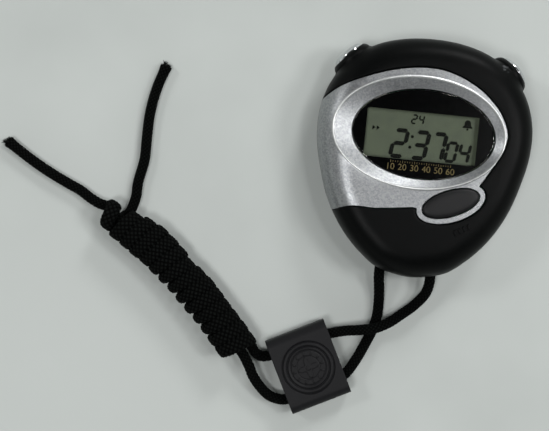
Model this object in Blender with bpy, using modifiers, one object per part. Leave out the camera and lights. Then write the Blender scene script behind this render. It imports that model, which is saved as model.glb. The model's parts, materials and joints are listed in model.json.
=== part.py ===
"""Digital hand stopwatch on a braided lanyard, lying on its back with its display up.

The origin is under the middle of the case, on the surface that it lies on. +X runs to the right of the
display, +Y to twelve o'clock and +Z up out of the display. Lengths are in metres: a size is written in
millimetres times MM, and the outlines and cord routes, which are lists, are in millimetres and scaled
where they are used.
"""

import math

import bmesh
import bpy
import numpy as np
from mathutils import Matrix, Vector

MM = 0.001
FIT = 0.3 * MM  # clearance between pieces that touch on the real watch

# Case
HALF_OUTLINE = [  # right half at the parting line, from twelve o'clock to six
    (0.0, 37.15),
    (9.0, 36.4),
    (18.0, 33.6),
    (25.5, 28.3),
    (30.6, 20.9),
    (33.1, 12.5),
    (33.2, 4.5),
    (31.2, -5.5),
    (27.9, -15.2),
    (22.6, -24.2),
    (16.2, -31.0),
    (11.0, -34.8),
    (5.0, -36.6),
    (0.0, -37.15),
]
OUTLINE_STEPS = 2  # points on each stretch of the outline
PARTING_Z = 9.4 * MM
FRONT_RISE = 9.8 * MM  # from the parting line to the flat of the front
FRONT_SHOULDER = 9.0 * MM  # width of the rounded edge of the front
FRONT_ROUNDNESS = 2.4
REAR_SHOULDER = 6.0 * MM
REAR_ROUNDNESS = 2.6
FRONT_WALL = 3.0 * MM
REAR_WALL = 1.8 * MM

# Silver face plate
PLATE_THICKNESS = 1.0 * MM
PLATE_FOOT = 1.2 * MM  # lower edge of the plate above the parting line, on the left flank
PLATE_UPPER_EDGE = [
    (-37.0, 11.6),
    (-33.0, 14.8),
    (-28.0, 18.7),
    (-19.6, 22.7),
    (-11.9, 25.3),
    (-4.2, 26.7),
    (2.5, 26.6),
    (9.5, 24.5),
    (17.0, 19.9),
    (21.9, 14.3),
    (24.0, 8.2),
    (22.9, 3.4),
    (20.6, -1.0),
    (16.6, -7.8),
]
PLATE_LOWER_EDGE = [(-2.3, -15.5), (-13.7, -16.8), (-22.2, -17.1), (-26.6, -18.9), (-37.0, -25.0)]
LOOP_WIDTH = 1.9 * MM  # silver rim round the mode button

# Display, in which the window sets the size of the lens, the dish, the glass and the board round it
WINDOW_CENTRE = (-1.6 * MM, 6.2 * MM)
WINDOW_SIZE = (34.3 * MM, 14.9 * MM)
WINDOW_MARGIN = 1.4 * MM  # opening in the housing beyond the printed window, on each side
LENS_MARGIN = (4.65 * MM, 6.25 * MM)  # from the ends of the window to the ends of the lens
DISH_MARGIN = (4.4 * MM, 3.3 * MM)
GLASS_MARGIN = (3.7 * MM, 5.1 * MM)  # glass beyond the window, both sides together
POLARISER_THICKNESS = 0.2 * MM
GLASS_SIZE = (WINDOW_SIZE[0] + GLASS_MARGIN[0], WINDOW_SIZE[1] + GLASS_MARGIN[1])
GLASS_THICKNESS = 2.0 * MM
FRAME_WALL = 2.0 * MM
ZEBRA_MARGIN = 4.0 * MM
ZEBRA_SIZE = (GLASS_SIZE[0] - ZEBRA_MARGIN, 2.0 * MM)
ZEBRA_HEIGHT = 2.5 * MM

# Oval dish and lens
LENS_CENTRE = (-1.1 * MM, 6.85 * MM)
LENS_RADII = (WINDOW_SIZE[0] / 2 + LENS_MARGIN[0], WINDOW_SIZE[1] / 2 + LENS_MARGIN[1])
DISH_CENTRE = (-2.7 * MM, 7.1 * MM)
DISH_RADII = (LENS_RADII[0] + DISH_MARGIN[0], LENS_RADII[1] + DISH_MARGIN[1])
DISH_DEPTH = 1.1 * MM  # from the flat of the front down to the edge of the lens
LENS_THICKNESS = 1.4 * MM
LENS_CROWN = 0.35 * MM
LENS_LEDGE = 1.3 * MM  # thickness of the ledge that carries the lens
SURROUND_WALL = 1.6 * MM
MASK_THICKNESS = 0.2 * MM

# Circuit board, from its lower left corner, anticlockwise, as wide as the glass and its frame need
BOARD_MARGIN = 5.5 * MM
BOARD_SIDE = (GLASS_SIZE[0] / 2 + BOARD_MARGIN) / MM
BOARD_OUTLINE = [
    (-18.5, -17.0),
    (19.5, -17.0),
    (BOARD_SIDE, -9.0),
    (BOARD_SIDE, 15.0),
    (14.0, 25.6),
    (-14.0, 25.6),
    (-BOARD_SIDE, 15.0),
    (-BOARD_SIDE, -9.0),
]
BOARD_THICKNESS = 1.0 * MM
BOARD_SCREW_INSET = 2.5
BOARD_SCREW_PLACES = [(-20.5, -10.5), (BOARD_SIDE - BOARD_SCREW_INSET, 12.5), (0.0, 22.2)]
BOARD_SCREW_RADIUS = 0.8 * MM
BOARD_SCREW_HEAD = (1.6 * MM, 1.1 * MM)
BOARD_SCREW_LENGTH = 4.6 * MM
BOARD_POST_RADIUS = 2.0 * MM

# Case screws
CASE_SCREW_PLACES = [(-10.5, 30.6), (10.5, 30.6), (19.0, -20.5), (-19.0, -20.5)]
CASE_SCREW_RADIUS = 1.0 * MM
CASE_SCREW_HEAD = (1.9 * MM, 1.4 * MM)
CASE_SCREW_LENGTH = 9.5 * MM
CASE_SCREW_RECESS = 1.7 * MM
CASE_POST_RADIUS = 2.8 * MM
CASE_TUBE_WALL = 1.0 * MM

# Top buttons, on axes that cross on the middle line of the case
BUTTON_CROSS_Y = 4.15 * MM
BUTTON_ANGLE = 45.0  # degrees of each axis from twelve o'clock
BUTTON_TRAVEL = 1.2 * MM
COLLAR_RADIUS = 6.8 * MM
COLLAR_FACE = 36.6 * MM  # distance of the collar's outer face from where the axes cross
COLLAR_ROOT = 29.8 * MM
CAP_RADIUS = 5.2 * MM
CAP_PROUD = 1.4 * MM
CAP_HEIGHT = 3.9 * MM
CAP_WALL = 1.0 * MM
CAP_TOP = 1.3 * MM
WEB_THICKNESS = 1.5 * MM
STEM_RADIUS = 1.5 * MM
STEM_REACH = 4.0 * MM  # length of the stem inside the web
CLIP_RADIUS = 3.2 * MM
CLIP_THICKNESS = 0.6 * MM
SPRING_WIRE = 0.4 * MM
SPRING_RADIUS = 2.6 * MM
SPRING_TURNS = 4
LEAF_THICKNESS = 0.25 * MM
LEAF_WIDTH = 4.0 * MM

# Mode button, an oval that rises to the right
MODE_CENTRE = (9.0 * MM, -13.25 * MM)
MODE_RADII = (9.05 * MM, 4.0 * MM)
MODE_TILT = 22.0
MODE_PROUD = 0.6 * MM
MODE_FLANGE = 1.0 * MM
MODE_FLANGE_THICKNESS = 1.2 * MM
PAD_RADII = (5.5 * MM, 3.0 * MM)
PAD_BASE = 0.6 * MM
PAD_HEIGHT = 2.8 * MM
PLUNGER_RADII = (3.0 * MM, 1.8 * MM)

# Battery and its door
BATTERY_CENTRE = (-4.0 * MM, -11.0 * MM)
BATTERY_RADIUS = 5.8 * MM
BATTERY_HEIGHT = 5.4 * MM
BATTERY_CAP = (4.9 * MM, 0.45 * MM)
DOOR_RADIUS = 8.0 * MM
DOOR_RECESS = 0.3 * MM
DOOR_THICKNESS = 1.2 * MM
DOOR_TURN = 50.0
LUG_REACH = 1.8 * MM
LUG_THICKNESS = 0.8 * MM
LUG_SPAN = 26.0
LUG_COUNT = 3
SLOT_SIZE = (10.0 * MM, 1.6 * MM, 0.7 * MM)
HOLDER_WALL = 1.3 * MM
CONTACT_THICKNESS = 0.2 * MM
CONTACT_WIDTH = 3.2 * MM

# Buzzer
BUZZER_CENTRE = (-1.6 * MM, 14.5 * MM)
BUZZER_RADIUS = 10.0 * MM
BUZZER_THICKNESS = 0.3 * MM
CERAMIC_RADIUS = 7.0 * MM
CERAMIC_THICKNESS = 0.2 * MM
BUZZER_LEDGE = 0.4 * MM
BUZZER_WALL = 1.0 * MM
SOUND_HOLE_RADIUS = 0.75 * MM
SOUND_HOLE_CIRCLE = 4.5 * MM
SOUND_HOLE_COUNT = 6
BUZZER_SPRING_RADIUS = 1.4 * MM

# Lanyard
CORD = 3.4 * MM
LANYARD_HOLE = 4.4 * MM
LANYARD_HOLES_X = (-9.0 * MM, 7.1 * MM)
LANYARD_Z = 5.0 * MM
LANYARD_MOUTH_Y = -35.2 * MM  # where the cord held inside the case meets the free cord
BIGHT_DEPTH = 1.7 * MM  # from the mouths to where the cord starts to bend round the anchor
ANCHOR_TOP = 8.0 * MM
STRAND_SPACING = 4.0 * MM  # between the points of a strand's tube
CURVE_STEPS = 12

# Cord slider: a flat sleeve with a channel for each strand
SLIDER_CENTRE = (-28.35 * MM, -68.82 * MM)
SLIDER_ANGLE = 26.9  # degrees of the channels from +X
SLIDER_LENGTH = 19.6 * MM
SLIDER_WIDTH = 24.4 * MM
SLIDER_HEIGHT = 7.4 * MM
SLIDER_ROUNDING = 2.6 * MM
CHANNEL_SPACING = 15.0 * MM
CHANNEL_RADIUS = 2.3 * MM
CHANNEL_FLARE = 1.9 * MM
CHANNEL_STRAIGHT = 8.0 * MM
RING_RADII = (8.2 * MM, 6.6 * MM)
RING_WIDTH = 0.35 * MM
RING_DEPTH = 0.3 * MM

# Knot: strand B is wound round strand A, which makes the last turn itself
KNOT_AXIS = [  # from its slider end to its tail end, seen from above, in millimetres
    (-48.1, -68.2),
    (-63.7, -51.3),
    (-80.9, -36.0),
    (-99.2, -25.2),
]
KNOT_Z = 5.85 * MM
TURN_HALF_WIDTH = 4.5 * MM
TURN_HALF_HEIGHT = 3.9 * MM
TURN_PITCH = 4.25 * MM
TURN_COUNT = 12.75
TURN_POINTS = 24
FIRST_SIDE = 4.75 * MM  # place along the axis where the winding starts up its right side
CORE_MARGIN = 7.0 * MM  # from the end of strand A's stretch inside the winding to the winding's end
END_TURN_LEAD = 2.7 * MM  # from where strand A swings off the axis to the winding's end
END_TURN_LENGTH = 7.7 * MM
END_TURN_HALF_WIDTH = 2.5 * MM
END_TURN_HALF_HEIGHT = 2.9 * MM
END_TURN_ANGLES = (-20, 205)
END_TURN_EASE = 1.7  # above 1, the end turn swings slowly at first
END_TURN_SWELL = 0.6  # share of the end turn over which it swings out to its full size
LEAD_IN_ANGLE = -5  # angle about the axis at which the winding leaves the table side
CORE_SHARES = (0.03, 0.15, 0.35, 0.6, 0.8, 0.93)  # places of strand A's points inside the winding

# Routes of the cord in millimetres, with strand A from the left hole and strand B from the right one
STRAND_A_ROUTE = [
    (-9.0, -35.2, 5.0),
    (-9.0, -37.7, 4.9),
    (-8.4, -41.4, 3.3),
    (-7.9, -46.0, 1.9),
    (-8.0, -51.0, 1.75),
    (-9.2, -56.0, 1.75),
    (-11.2, -60.8, 2.0),
    (-13.5, -65.6, 2.9),
    (-16.1, -69.7, 3.5),
    (-19.1, -72.5, 3.7),
    (-25.0, -75.5, 3.7),
    (-31.2, -78.7, 3.7),
    (-35.0, -80.2, 3.4),
    (-39.2, -79.7, 3.0),
    (-43.2, -76.6, 3.2),
    (-45.6, -73.4, 4.2),
    (-46.9, -70.7, 5.3),
]
STRAND_B_ROUTE = [
    (7.1, -35.2, 5.0),
    (7.2, -37.9, 4.9),
    (6.6, -41.6, 4.0),
    (3.9, -45.6, 3.1),
    (-0.6, -49.7, 3.1),
    (-4.6, -52.6, 4.5),
    (-8.6, -54.5, 5.6),
    (-13.0, -55.6, 5.0),
    (-17.6, -56.4, 4.2),
    (-22.0, -57.6, 3.8),
    (-25.9, -59.1, 3.7),
    (-31.7, -62.1, 3.7),
]
WINDING_START_ROUTE = [
    (-34.5, -63.5, 3.7),
    (-38.0, -65.3, 3.7),
    (-41.0, -66.8, 3.4),
    (-43.5, -67.3, 2.6),
    (-45.5, -66.4, 2.0),
    (-46.8, -64.6, 1.95),
    (-47.5, -62.9, 2.9),
]
END_TURN_EXIT_ROUTE = [
    (-97.3, -28.0, 3.3),
    (-98.1, -26.3, 2.3),
]
LEFT_TAIL_ROUTE = [
    (-99.7, -24.6, 1.85),
    (-102.6, -22.5, 1.75),
    (-106.2, -20.6, 1.75),
    (-110.5, -18.7, 1.75),
    (-118.0, -15.1, 1.75),
    (-125.9, -10.5, 1.75),
    (-131.1, -7.1, 1.75),
]
RIGHT_TAIL_ROUTE = [
    (-89.6, -25.2, 1.85),
    (-88.5, -21.0, 1.75),
    (-88.3, -16.7, 1.75),
    (-86.9, -8.3, 1.75),
    (-86.9, -2.2, 1.75),
    (-86.7, 6.0, 1.75),
    (-85.3, 14.4, 1.75),
    (-82.9, 22.0, 1.75),
]


# Outlines and sections
def smooth_line(points, steps, closed=False):
    """Points on a Catmull-Rom curve through the given points, with this many steps between neighbours."""
    points = np.array(points, float)
    if closed:
        guided = np.vstack([points[-1:], points, points[:2]])
    else:
        guided = np.vstack([2 * points[0] - points[1], points, 2 * points[-1] - points[-2]])
    moves = np.diff(guided, axis=0)
    lengths = np.linalg.norm(moves, axis=1, keepdims=True)
    slopes = moves / lengths
    before, after = lengths[:-1], lengths[1:]
    slopes = (slopes[:-1] * after + slopes[1:] * before) / (before + after)
    line = []
    for i, length in enumerate(lengths[1:-1]):
        for t in np.arange(steps) / steps:
            line.append(
                guided[i + 1] * (2 * t**3 - 3 * t**2 + 1)
                + guided[i + 2] * (3 * t**2 - 2 * t**3)
                + slopes[i] * length * (t**3 - 2 * t**2 + t)
                + slopes[i + 1] * length * (t**3 - t**2)
            )
    if not closed:
        line.append(points[-1])
    return np.array(line)


def case_outline():
    """The whole outline of the case at the parting line, anticlockwise from twelve o'clock."""
    left = [(-x, y) for x, y in HALF_OUTLINE]
    right = HALF_OUTLINE[-2:0:-1]
    return smooth_line(left + right, OUTLINE_STEPS, closed=True) * MM


OUTLINE = case_outline()


def drawn_in(inset):
    """The case outline with each point moved towards the middle by the inset."""
    reach = np.linalg.norm(OUTLINE, axis=1, keepdims=True)
    return OUTLINE * (1 - inset / reach)


def edge_profile(shoulder, rise, roundness, depth, steps):
    """(inset, height) pairs up a rounded edge that lies this deep under the surface."""
    pairs = []
    for step in range(1, steps + 1):
        angle = math.radians(90) * step / steps
        across = math.cos(angle) ** (2 / roundness)
        up = math.sin(angle) ** (2 / roundness)
        normal = Vector((across ** (roundness - 1) / shoulder, up ** (roundness - 1) / rise)).normalized()
        pairs.append((shoulder * (1 - across) + depth * normal.x, rise * up - depth * normal.y))
    return pairs


def front_height(x, y):
    """Height of the front surface over a point."""
    angles = np.arctan2(OUTLINE[:, 1], OUTLINE[:, 0])
    order = np.argsort(angles)
    reach = np.interp(
        math.atan2(y, x), angles[order], np.linalg.norm(OUTLINE, axis=1)[order], period=2 * math.pi
    )
    inset = min(max(reach - math.hypot(x, y), 0.0), FRONT_SHOULDER)
    share = (1 - (1 - inset / FRONT_SHOULDER) ** FRONT_ROUNDNESS) ** (1 / FRONT_ROUNDNESS)
    return PARTING_Z + FRONT_RISE * share


def oval(centre, radii, tilt=0.0, count=40):
    """Points of an ellipse, anticlockwise."""
    angles = np.linspace(0, 2 * math.pi, count, endpoint=False)
    turn = math.radians(tilt)
    x = radii[0] * np.cos(angles)
    y = radii[1] * np.sin(angles)
    return np.column_stack(
        [
            centre[0] + x * math.cos(turn) - y * math.sin(turn),
            centre[1] + x * math.sin(turn) + y * math.cos(turn),
        ]
    )


def grown(points, distance):
    """An anticlockwise outline with each point moved outwards by the distance."""
    before = points - np.roll(points, 1, axis=0)
    after = np.roll(points, -1, axis=0) - points
    before /= np.linalg.norm(before, axis=1, keepdims=True)
    after /= np.linalg.norm(after, axis=1, keepdims=True)
    mean = before + after
    mean /= np.linalg.norm(mean, axis=1, keepdims=True)
    outwards = np.column_stack([mean[:, 1], -mean[:, 0]])
    share = np.clip((mean * after).sum(axis=1, keepdims=True), 0.5, 1.0)
    return points + outwards * distance / share


def wider(radii, distance):
    return (radii[0] + distance, radii[1] + distance)


# Scene and materials
for old in list(bpy.data.objects):
    bpy.data.objects.remove(old, do_unlink=True)

watch = bpy.data.collections.new("stopwatch")
cutters = bpy.data.collections.new("cutters")
bpy.context.scene.collection.children.link(watch)
bpy.context.scene.collection.children.link(cutters)


def material(name, color, roughness, metallic=0.0, alpha=1.0):
    made = bpy.data.materials.new(name)
    made.use_nodes = True
    surface = made.node_tree.nodes["Principled BSDF"]
    surface.inputs["Base Color"].default_value = (*color, 1.0)
    surface.inputs["Roughness"].default_value = roughness
    surface.inputs["Metallic"].default_value = metallic
    surface.inputs["Alpha"].default_value = alpha
    return made


BLACK_ABS = material("black_abs", (0.014, 0.015, 0.017), 0.42)
SILVER_PAINT = material("silver_paint", (0.56, 0.57, 0.58), 0.38, 0.8)
CLEAR_ACRYLIC = material("clear_acrylic", (0.8, 0.82, 0.82), 0.05, 0.0, 0.35)
BLACK_PRINT = material("black_print", (0.01, 0.01, 0.012), 0.3)
LCD_GREEN = material("lcd_green", (0.42, 0.47, 0.38), 0.3)
LCD_GLASS = material("lcd_glass", (0.5, 0.55, 0.48), 0.1, 0.0, 0.5)
FRAME_NYLON = material("frame_nylon", (0.7, 0.7, 0.66), 0.5)
ELASTOMER = material("elastomer", (0.62, 0.5, 0.5), 0.6)
BOARD_GREEN = material("board_green", (0.03, 0.14, 0.06), 0.4)
EPOXY = material("epoxy", (0.01, 0.01, 0.01), 0.25)
STEEL = material("steel", (0.56, 0.57, 0.58), 0.3, 1.0)
BRASS = material("brass", (0.8, 0.6, 0.3), 0.3, 1.0)
CHROME = material("chrome", (0.78, 0.78, 0.8), 0.12, 1.0)
RUBBER = material("rubber", (0.03, 0.03, 0.032), 0.7)
SLIDER_PLASTIC = material("slider_plastic", (0.03, 0.03, 0.034), 0.5)
POLYESTER_CORD = material("polyester_cord", (0.012, 0.013, 0.014), 0.85)


# Makers of solids
def add(name, data, finish=None, parent=None):
    """An object in the watch, or a cutter where no finish is given."""
    piece = bpy.data.objects.new(name, data)
    if finish is None:
        cutters.objects.link(piece)
        piece.hide_render = True
        piece.display_type = "WIRE"
    else:
        watch.objects.link(piece)
        data.materials.append(finish)
    piece.parent = parent
    return piece


def from_bmesh(name, shape, finish=None, parent=None, smooth=True):
    """A mesh object from a bmesh, with its faces pointing out."""
    bmesh.ops.recalc_face_normals(shape, faces=shape.faces)
    mesh = bpy.data.meshes.new(name)
    shape.to_mesh(mesh)
    shape.free()
    if smooth:
        mesh.shade_smooth()
        mesh.set_sharp_from_angle(angle=math.radians(35))
    return add(name, mesh, finish, parent)


def loft(name, rings, finish=None, parent=None):
    """A closed solid through rings of equal count, from one flat end to the other."""
    shape = bmesh.new()
    rows = [[shape.verts.new(point) for point in ring] for ring in rings]
    count = len(rows[0])
    for low, high in zip(rows, rows[1:]):
        for i in range(count):
            j = (i + 1) % count
            shape.faces.new((low[i], low[j], high[j], high[i]))
    shape.faces.new(rows[0][::-1])
    shape.faces.new(rows[-1])
    return from_bmesh(name, shape, finish, parent)


def ring_at(points, z):
    """An outline lifted to a height, or to one height for each point."""
    return np.column_stack([points, np.broadcast_to(z, len(points))])


def prism(name, points, low, high, finish=None):
    """A flat outline given a thickness: a filled 2D curve, extruded and made a mesh."""
    curve = bpy.data.curves.new(name, "CURVE")
    curve.dimensions = "2D"
    curve.fill_mode = "BOTH"
    curve.extrude = (high - low) / 2
    spline = curve.splines.new("POLY")
    spline.points.add(len(points) - 1)
    for spot, (x, y) in zip(spline.points, points):
        spot.co = (x, y, 0, 1)
    spline.use_cyclic_u = True
    drawn = bpy.data.objects.new(name, curve)
    drawn.location.z = (low + high) / 2
    return meshed(drawn, finish)


def meshed(drawn, finish=None, parent=None):
    """A curve object turned into a mesh object of the same name and place, with its caps welded."""
    name = drawn.name
    cutters.objects.link(drawn)
    bpy.context.view_layer.update()
    evaluated = drawn.evaluated_get(bpy.context.evaluated_depsgraph_get())
    mesh = bpy.data.meshes.new_from_object(evaluated)
    place = drawn.matrix_world.copy()
    bpy.data.objects.remove(drawn, do_unlink=True)
    shape = bmesh.new()
    shape.from_mesh(mesh)
    bpy.data.meshes.remove(mesh)
    bmesh.ops.remove_doubles(shape, verts=shape.verts, dist=0.002 * MM)
    bmesh.ops.dissolve_limit(
        shape, angle_limit=math.radians(0.5), verts=shape.verts, edges=shape.edges
    )
    piece = from_bmesh(name, shape, finish, parent)
    piece.matrix_world = place
    return piece


def box(name, low, high, finish=None, parent=None):
    shape = bmesh.new()
    low = Vector(low)
    high = Vector(high)
    size = high - low
    bmesh.ops.create_cube(shape, size=1.0)
    shape.transform(Matrix.Translation((low + high) / 2) @ Matrix.Diagonal((*size, 1.0)))
    return from_bmesh(name, shape, finish, parent, smooth=False)


def cylinder(name, centre, radius, low, high, finish=None, parent=None, sides=24):
    """An upright cylinder between two heights."""
    shape = bmesh.new()
    bmesh.ops.create_cone(
        shape, cap_ends=True, segments=sides, radius1=radius, radius2=radius, depth=high - low
    )
    shape.transform(Matrix.Translation((centre[0], centre[1], (low + high) / 2)))
    return from_bmesh(name, shape, finish, parent)


def turned(name, profile, finish=None, parent=None, location=(0, 0, 0), sides=24, ring=False):
    """A turned solid: a profile of (radius, height) down its outer side, with a Screw modifier."""
    mesh = bpy.data.meshes.new(name)
    points = [(radius, 0, height) for radius, height in profile]
    edges = [(i, i + 1) for i in range(len(points) - 1)]
    if ring:
        edges.append((len(points) - 1, 0))
    mesh.from_pydata(points, edges, [])
    piece = add(name, mesh, finish, parent)
    piece.location = location
    screw = piece.modifiers.new("turn", "SCREW")
    screw.steps = sides
    screw.render_steps = sides
    screw.use_merge_vertices = True
    screw.merge_threshold = 0.002 * MM
    screw.use_smooth_shade = False
    return piece


def tube(name, points, diameter, finish, resolution=2):
    """A round cord or wire along points, with filled caps."""
    curve = bpy.data.curves.new(name, "CURVE")
    curve.dimensions = "3D"
    curve.bevel_depth = diameter / 2
    curve.bevel_resolution = resolution
    curve.use_fill_caps = True
    spline = curve.splines.new("POLY")
    spline.points.add(len(points) - 1)
    for spot, point in zip(spline.points, points):
        spot.co = (*point, 1)
    return add(name, curve, finish)


def strip(name, line, width, thickness, finish, place):
    """A bent leaf of sheet metal: a folded sheet along (forward, up) points, made solid with Solidify."""
    shape = bmesh.new()
    rows = [
        [shape.verts.new((side * width / 2, along, up)) for side in (-1, 1)] for along, up in line
    ]
    for low, high in zip(rows, rows[1:]):
        shape.faces.new((low[0], low[1], high[1], high[0]))
    mesh = bpy.data.meshes.new(name)
    shape.to_mesh(mesh)
    shape.free()
    piece = add(name, mesh, finish)
    piece.matrix_world = place
    solidify = piece.modifiers.new("sheet", "SOLIDIFY")
    solidify.thickness = thickness
    solidify.offset = 0.0
    solidify.use_even_offset = True
    return piece


def boolean(piece, other, operation="DIFFERENCE"):
    modifier = piece.modifiers.new(other.name, "BOOLEAN")
    modifier.operation = operation
    modifier.object = other


def case_solid(name, side, depth, skirt, finish=None, steps=5):
    """The front (side 1) or back (side -1) of the case as a full solid, this deep under its surface."""
    if side > 0:
        pairs = edge_profile(FRONT_SHOULDER, FRONT_RISE, FRONT_ROUNDNESS, depth, steps)
    else:
        pairs = edge_profile(REAR_SHOULDER, PARTING_Z, REAR_ROUNDNESS, depth, steps)
    rings = [ring_at(drawn_in(depth), PARTING_Z - side * skirt)]
    for inset, height in pairs:
        rings.append(ring_at(drawn_in(inset), PARTING_Z + side * height))
    return loft(name, rings, finish)


# Heights worked out from the sizes above
FACE_Z = PARTING_Z + FRONT_RISE
SKY = FACE_Z + 20 * MM  # safely above the watch, for cutters
BELOW = -5 * MM
LENS_EDGE_Z = FACE_Z - DISH_DEPTH
LENS_BOTTOM_Z = LENS_EDGE_Z - LENS_THICKNESS
MASK_Z = LENS_BOTTOM_Z - FIT - MASK_THICKNESS
LEDGE_TOP_Z = MASK_Z - FIT
LEDGE_BOTTOM_Z = LEDGE_TOP_Z - LENS_LEDGE
GLASS_TOP_Z = LEDGE_BOTTOM_Z - FIT
GLASS_BOTTOM_Z = GLASS_TOP_Z - GLASS_THICKNESS
ZEBRA_TOP_Z = GLASS_BOTTOM_Z - FIT
ZEBRA_BOTTOM_Z = ZEBRA_TOP_Z - ZEBRA_HEIGHT
BOARD_TOP_Z = ZEBRA_BOTTOM_Z - FIT
BOARD_BOTTOM_Z = BOARD_TOP_Z - BOARD_THICKNESS
ROOF_Z = FACE_Z - FRONT_WALL
FLOOR_Z = REAR_WALL
SEAM = FIT / 2  # each housing stops this far from the parting line


# Button axes
def button_rig(side):
    """An empty where the axes cross, its +Z out along the right (side 1) or left (side -1) button's axis."""
    rig = bpy.data.objects.new("right_button_axis" if side > 0 else "left_button_axis", None)
    watch.objects.link(rig)
    turn = math.radians(BUTTON_ANGLE)
    out = Vector((side * math.sin(turn), math.cos(turn), 0))
    pointed = out.to_track_quat("Z", "Y").to_matrix().to_4x4()
    rig.matrix_world = Matrix.Translation((0, BUTTON_CROSS_Y, PARTING_Z)) @ pointed
    return rig


RIGS = {"left": button_rig(-1), "right": button_rig(1)}
bpy.context.view_layer.update()
WEB_OUTER = COLLAR_FACE + CAP_PROUD - CAP_HEIGHT - BUTTON_TRAVEL - FIT
WEB_INNER = WEB_OUTER - WEB_THICKNESS


# Case shells
def plate_region(name, grow, low):
    """The area of the face plate as an upright solid: the main field and the loop round the mode button."""
    upper = smooth_line(PLATE_UPPER_EDGE, 2)
    lower = smooth_line(PLATE_LOWER_EDGE, 2)
    field = np.vstack([upper, lower])[::-1] * MM
    region = prism(name, grown(field, grow), low, SKY)
    loop = prism(
        name + "_loop",
        oval(MODE_CENTRE, wider(MODE_RADII, LOOP_WIDTH + grow), MODE_TILT, 28),
        low - 1 * MM,
        SKY + 1 * MM,
    )
    boolean(region, loop, "UNION")
    cap = box(name + "_foot", (-60 * MM, -60 * MM, low - 2 * MM), (60 * MM, 60 * MM, low + 0.01 * MM))
    boolean(region, cap)
    return region


def dish(depth):
    """The hollow of the oval dish, this deep under the face: from the lens's edge to the crest and up."""
    rim = oval(DISH_CENTRE, DISH_RADII)
    crest = np.array([front_height(x, y) for x, y in rim]) + 0.05 * MM - depth
    floor = oval(LENS_CENTRE, LENS_RADII)
    return loft(
        f"dish_{round(depth / MM * 10)}",
        [ring_at(floor, LENS_EDGE_Z - depth), ring_at(rim, crest), ring_at(rim, SKY)],
    )


def dished_front(depth):
    """The front of the case this deep under its surface, with the dish sunk into it."""
    core = case_solid(f"front_core_{round(depth / MM * 10)}", 1, depth, 5 * MM)
    boolean(core, dish(depth))
    return core


def collar_cylinder(name, side_name, radius, low, high, sides=24):
    """A cylinder on a button's axis, between two distances from where the axes cross."""
    piece = cylinder(name, (0, 0), radius, low, high, None, RIGS[side_name], sides)
    return piece


def make_front_housing():
    housing = case_solid("front_housing", 1, 0, 1 * MM, BLACK_ABS)
    for side_name in RIGS:
        boolean(
            housing,
            collar_cylinder(
                f"front_collar_{side_name}", side_name, COLLAR_RADIUS, COLLAR_ROOT, COLLAR_FACE
            ),
            "UNION",
        )
    below = box(
        "front_parting", (-60 * MM, -60 * MM, -60 * MM), (60 * MM, 60 * MM, PARTING_Z + SEAM)
    )
    boolean(housing, below)

    cavity = case_solid("front_cavity", 1, FRONT_WALL, 5 * MM, steps=3)
    surround = prism(
        "display_surround",
        oval(LENS_CENTRE, wider(LENS_RADII, SURROUND_WALL)),
        LEDGE_BOTTOM_Z,
        SKY,
    )
    boolean(cavity, surround)
    for i, (x, y) in enumerate(CASE_SCREW_PLACES, 1):
        boolean(cavity, cylinder(f"case_post_{i}", (x * MM, y * MM), CASE_POST_RADIUS, 0, SKY, sides=14))
    for i, (x, y) in enumerate(BOARD_SCREW_PLACES, 1):
        boolean(
            cavity,
            cylinder(
                f"board_post_{i}", (x * MM, y * MM), BOARD_POST_RADIUS, BOARD_TOP_Z + FIT, SKY, sides=12
            ),
        )
    for side_name in RIGS:
        boolean(
            cavity,
            collar_cylinder(
                f"front_boss_{side_name}", side_name, COLLAR_RADIUS, WEB_INNER, SKY + COLLAR_FACE
            ),
        )
    boolean(housing, cavity)

    pocket = plate_region("plate_pocket", FIT, PARTING_Z + PLATE_FOOT - FIT)
    boolean(pocket, dished_front(PLATE_THICKNESS + FIT))
    boolean(housing, pocket)
    boolean(
        housing, prism("lens_recess", oval(LENS_CENTRE, wider(LENS_RADII, FIT / 2)), LEDGE_TOP_Z, SKY)
    )
    half = ((WINDOW_SIZE[0]) / 2 + WINDOW_MARGIN, (WINDOW_SIZE[1]) / 2 + WINDOW_MARGIN)
    boolean(
        housing,
        box(
            "window_cut",
            (WINDOW_CENTRE[0] - half[0], WINDOW_CENTRE[1] - half[1], PARTING_Z),
            (WINDOW_CENTRE[0] + half[0], WINDOW_CENTRE[1] + half[1], SKY),
        ),
    )
    boolean(
        housing,
        prism(
            "mode_cut", oval(MODE_CENTRE, wider(MODE_RADII, FIT / 2), MODE_TILT, 28), PARTING_Z, SKY
        ),
    )
    for i, (x, y) in enumerate(CASE_SCREW_PLACES, 1):
        boolean(
            housing,
            cylinder(
                f"case_pilot_{i}",
                (x * MM, y * MM),
                CASE_SCREW_RADIUS + FIT,
                0,
                CASE_SCREW_RECESS + CASE_SCREW_HEAD[1] + CASE_SCREW_LENGTH + FIT,
                sides=12,
            ),
        )
    for i, (x, y) in enumerate(BOARD_SCREW_PLACES, 1):
        boolean(
            housing,
            cylinder(
                f"board_pilot_{i}",
                (x * MM, y * MM),
                BOARD_SCREW_RADIUS + FIT,
                0,
                BOARD_BOTTOM_Z - FIT + BOARD_SCREW_LENGTH + FIT,
                sides=12,
            ),
        )
    cut_button_bores(housing, "front")
    return housing


def cut_button_bores(housing, label):
    for side_name in RIGS:
        boolean(
            housing,
            collar_cylinder(
                f"{label}_cap_bore_{side_name}", side_name, CAP_RADIUS + FIT, WEB_OUTER, SKY + COLLAR_FACE
            ),
        )
        boolean(
            housing,
            collar_cylinder(
                f"{label}_stem_bore_{side_name}",
                side_name,
                STEM_RADIUS + FIT,
                WEB_INNER - 2 * MM,
                WEB_OUTER + 1 * MM,
                12,
            ),
        )


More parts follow.
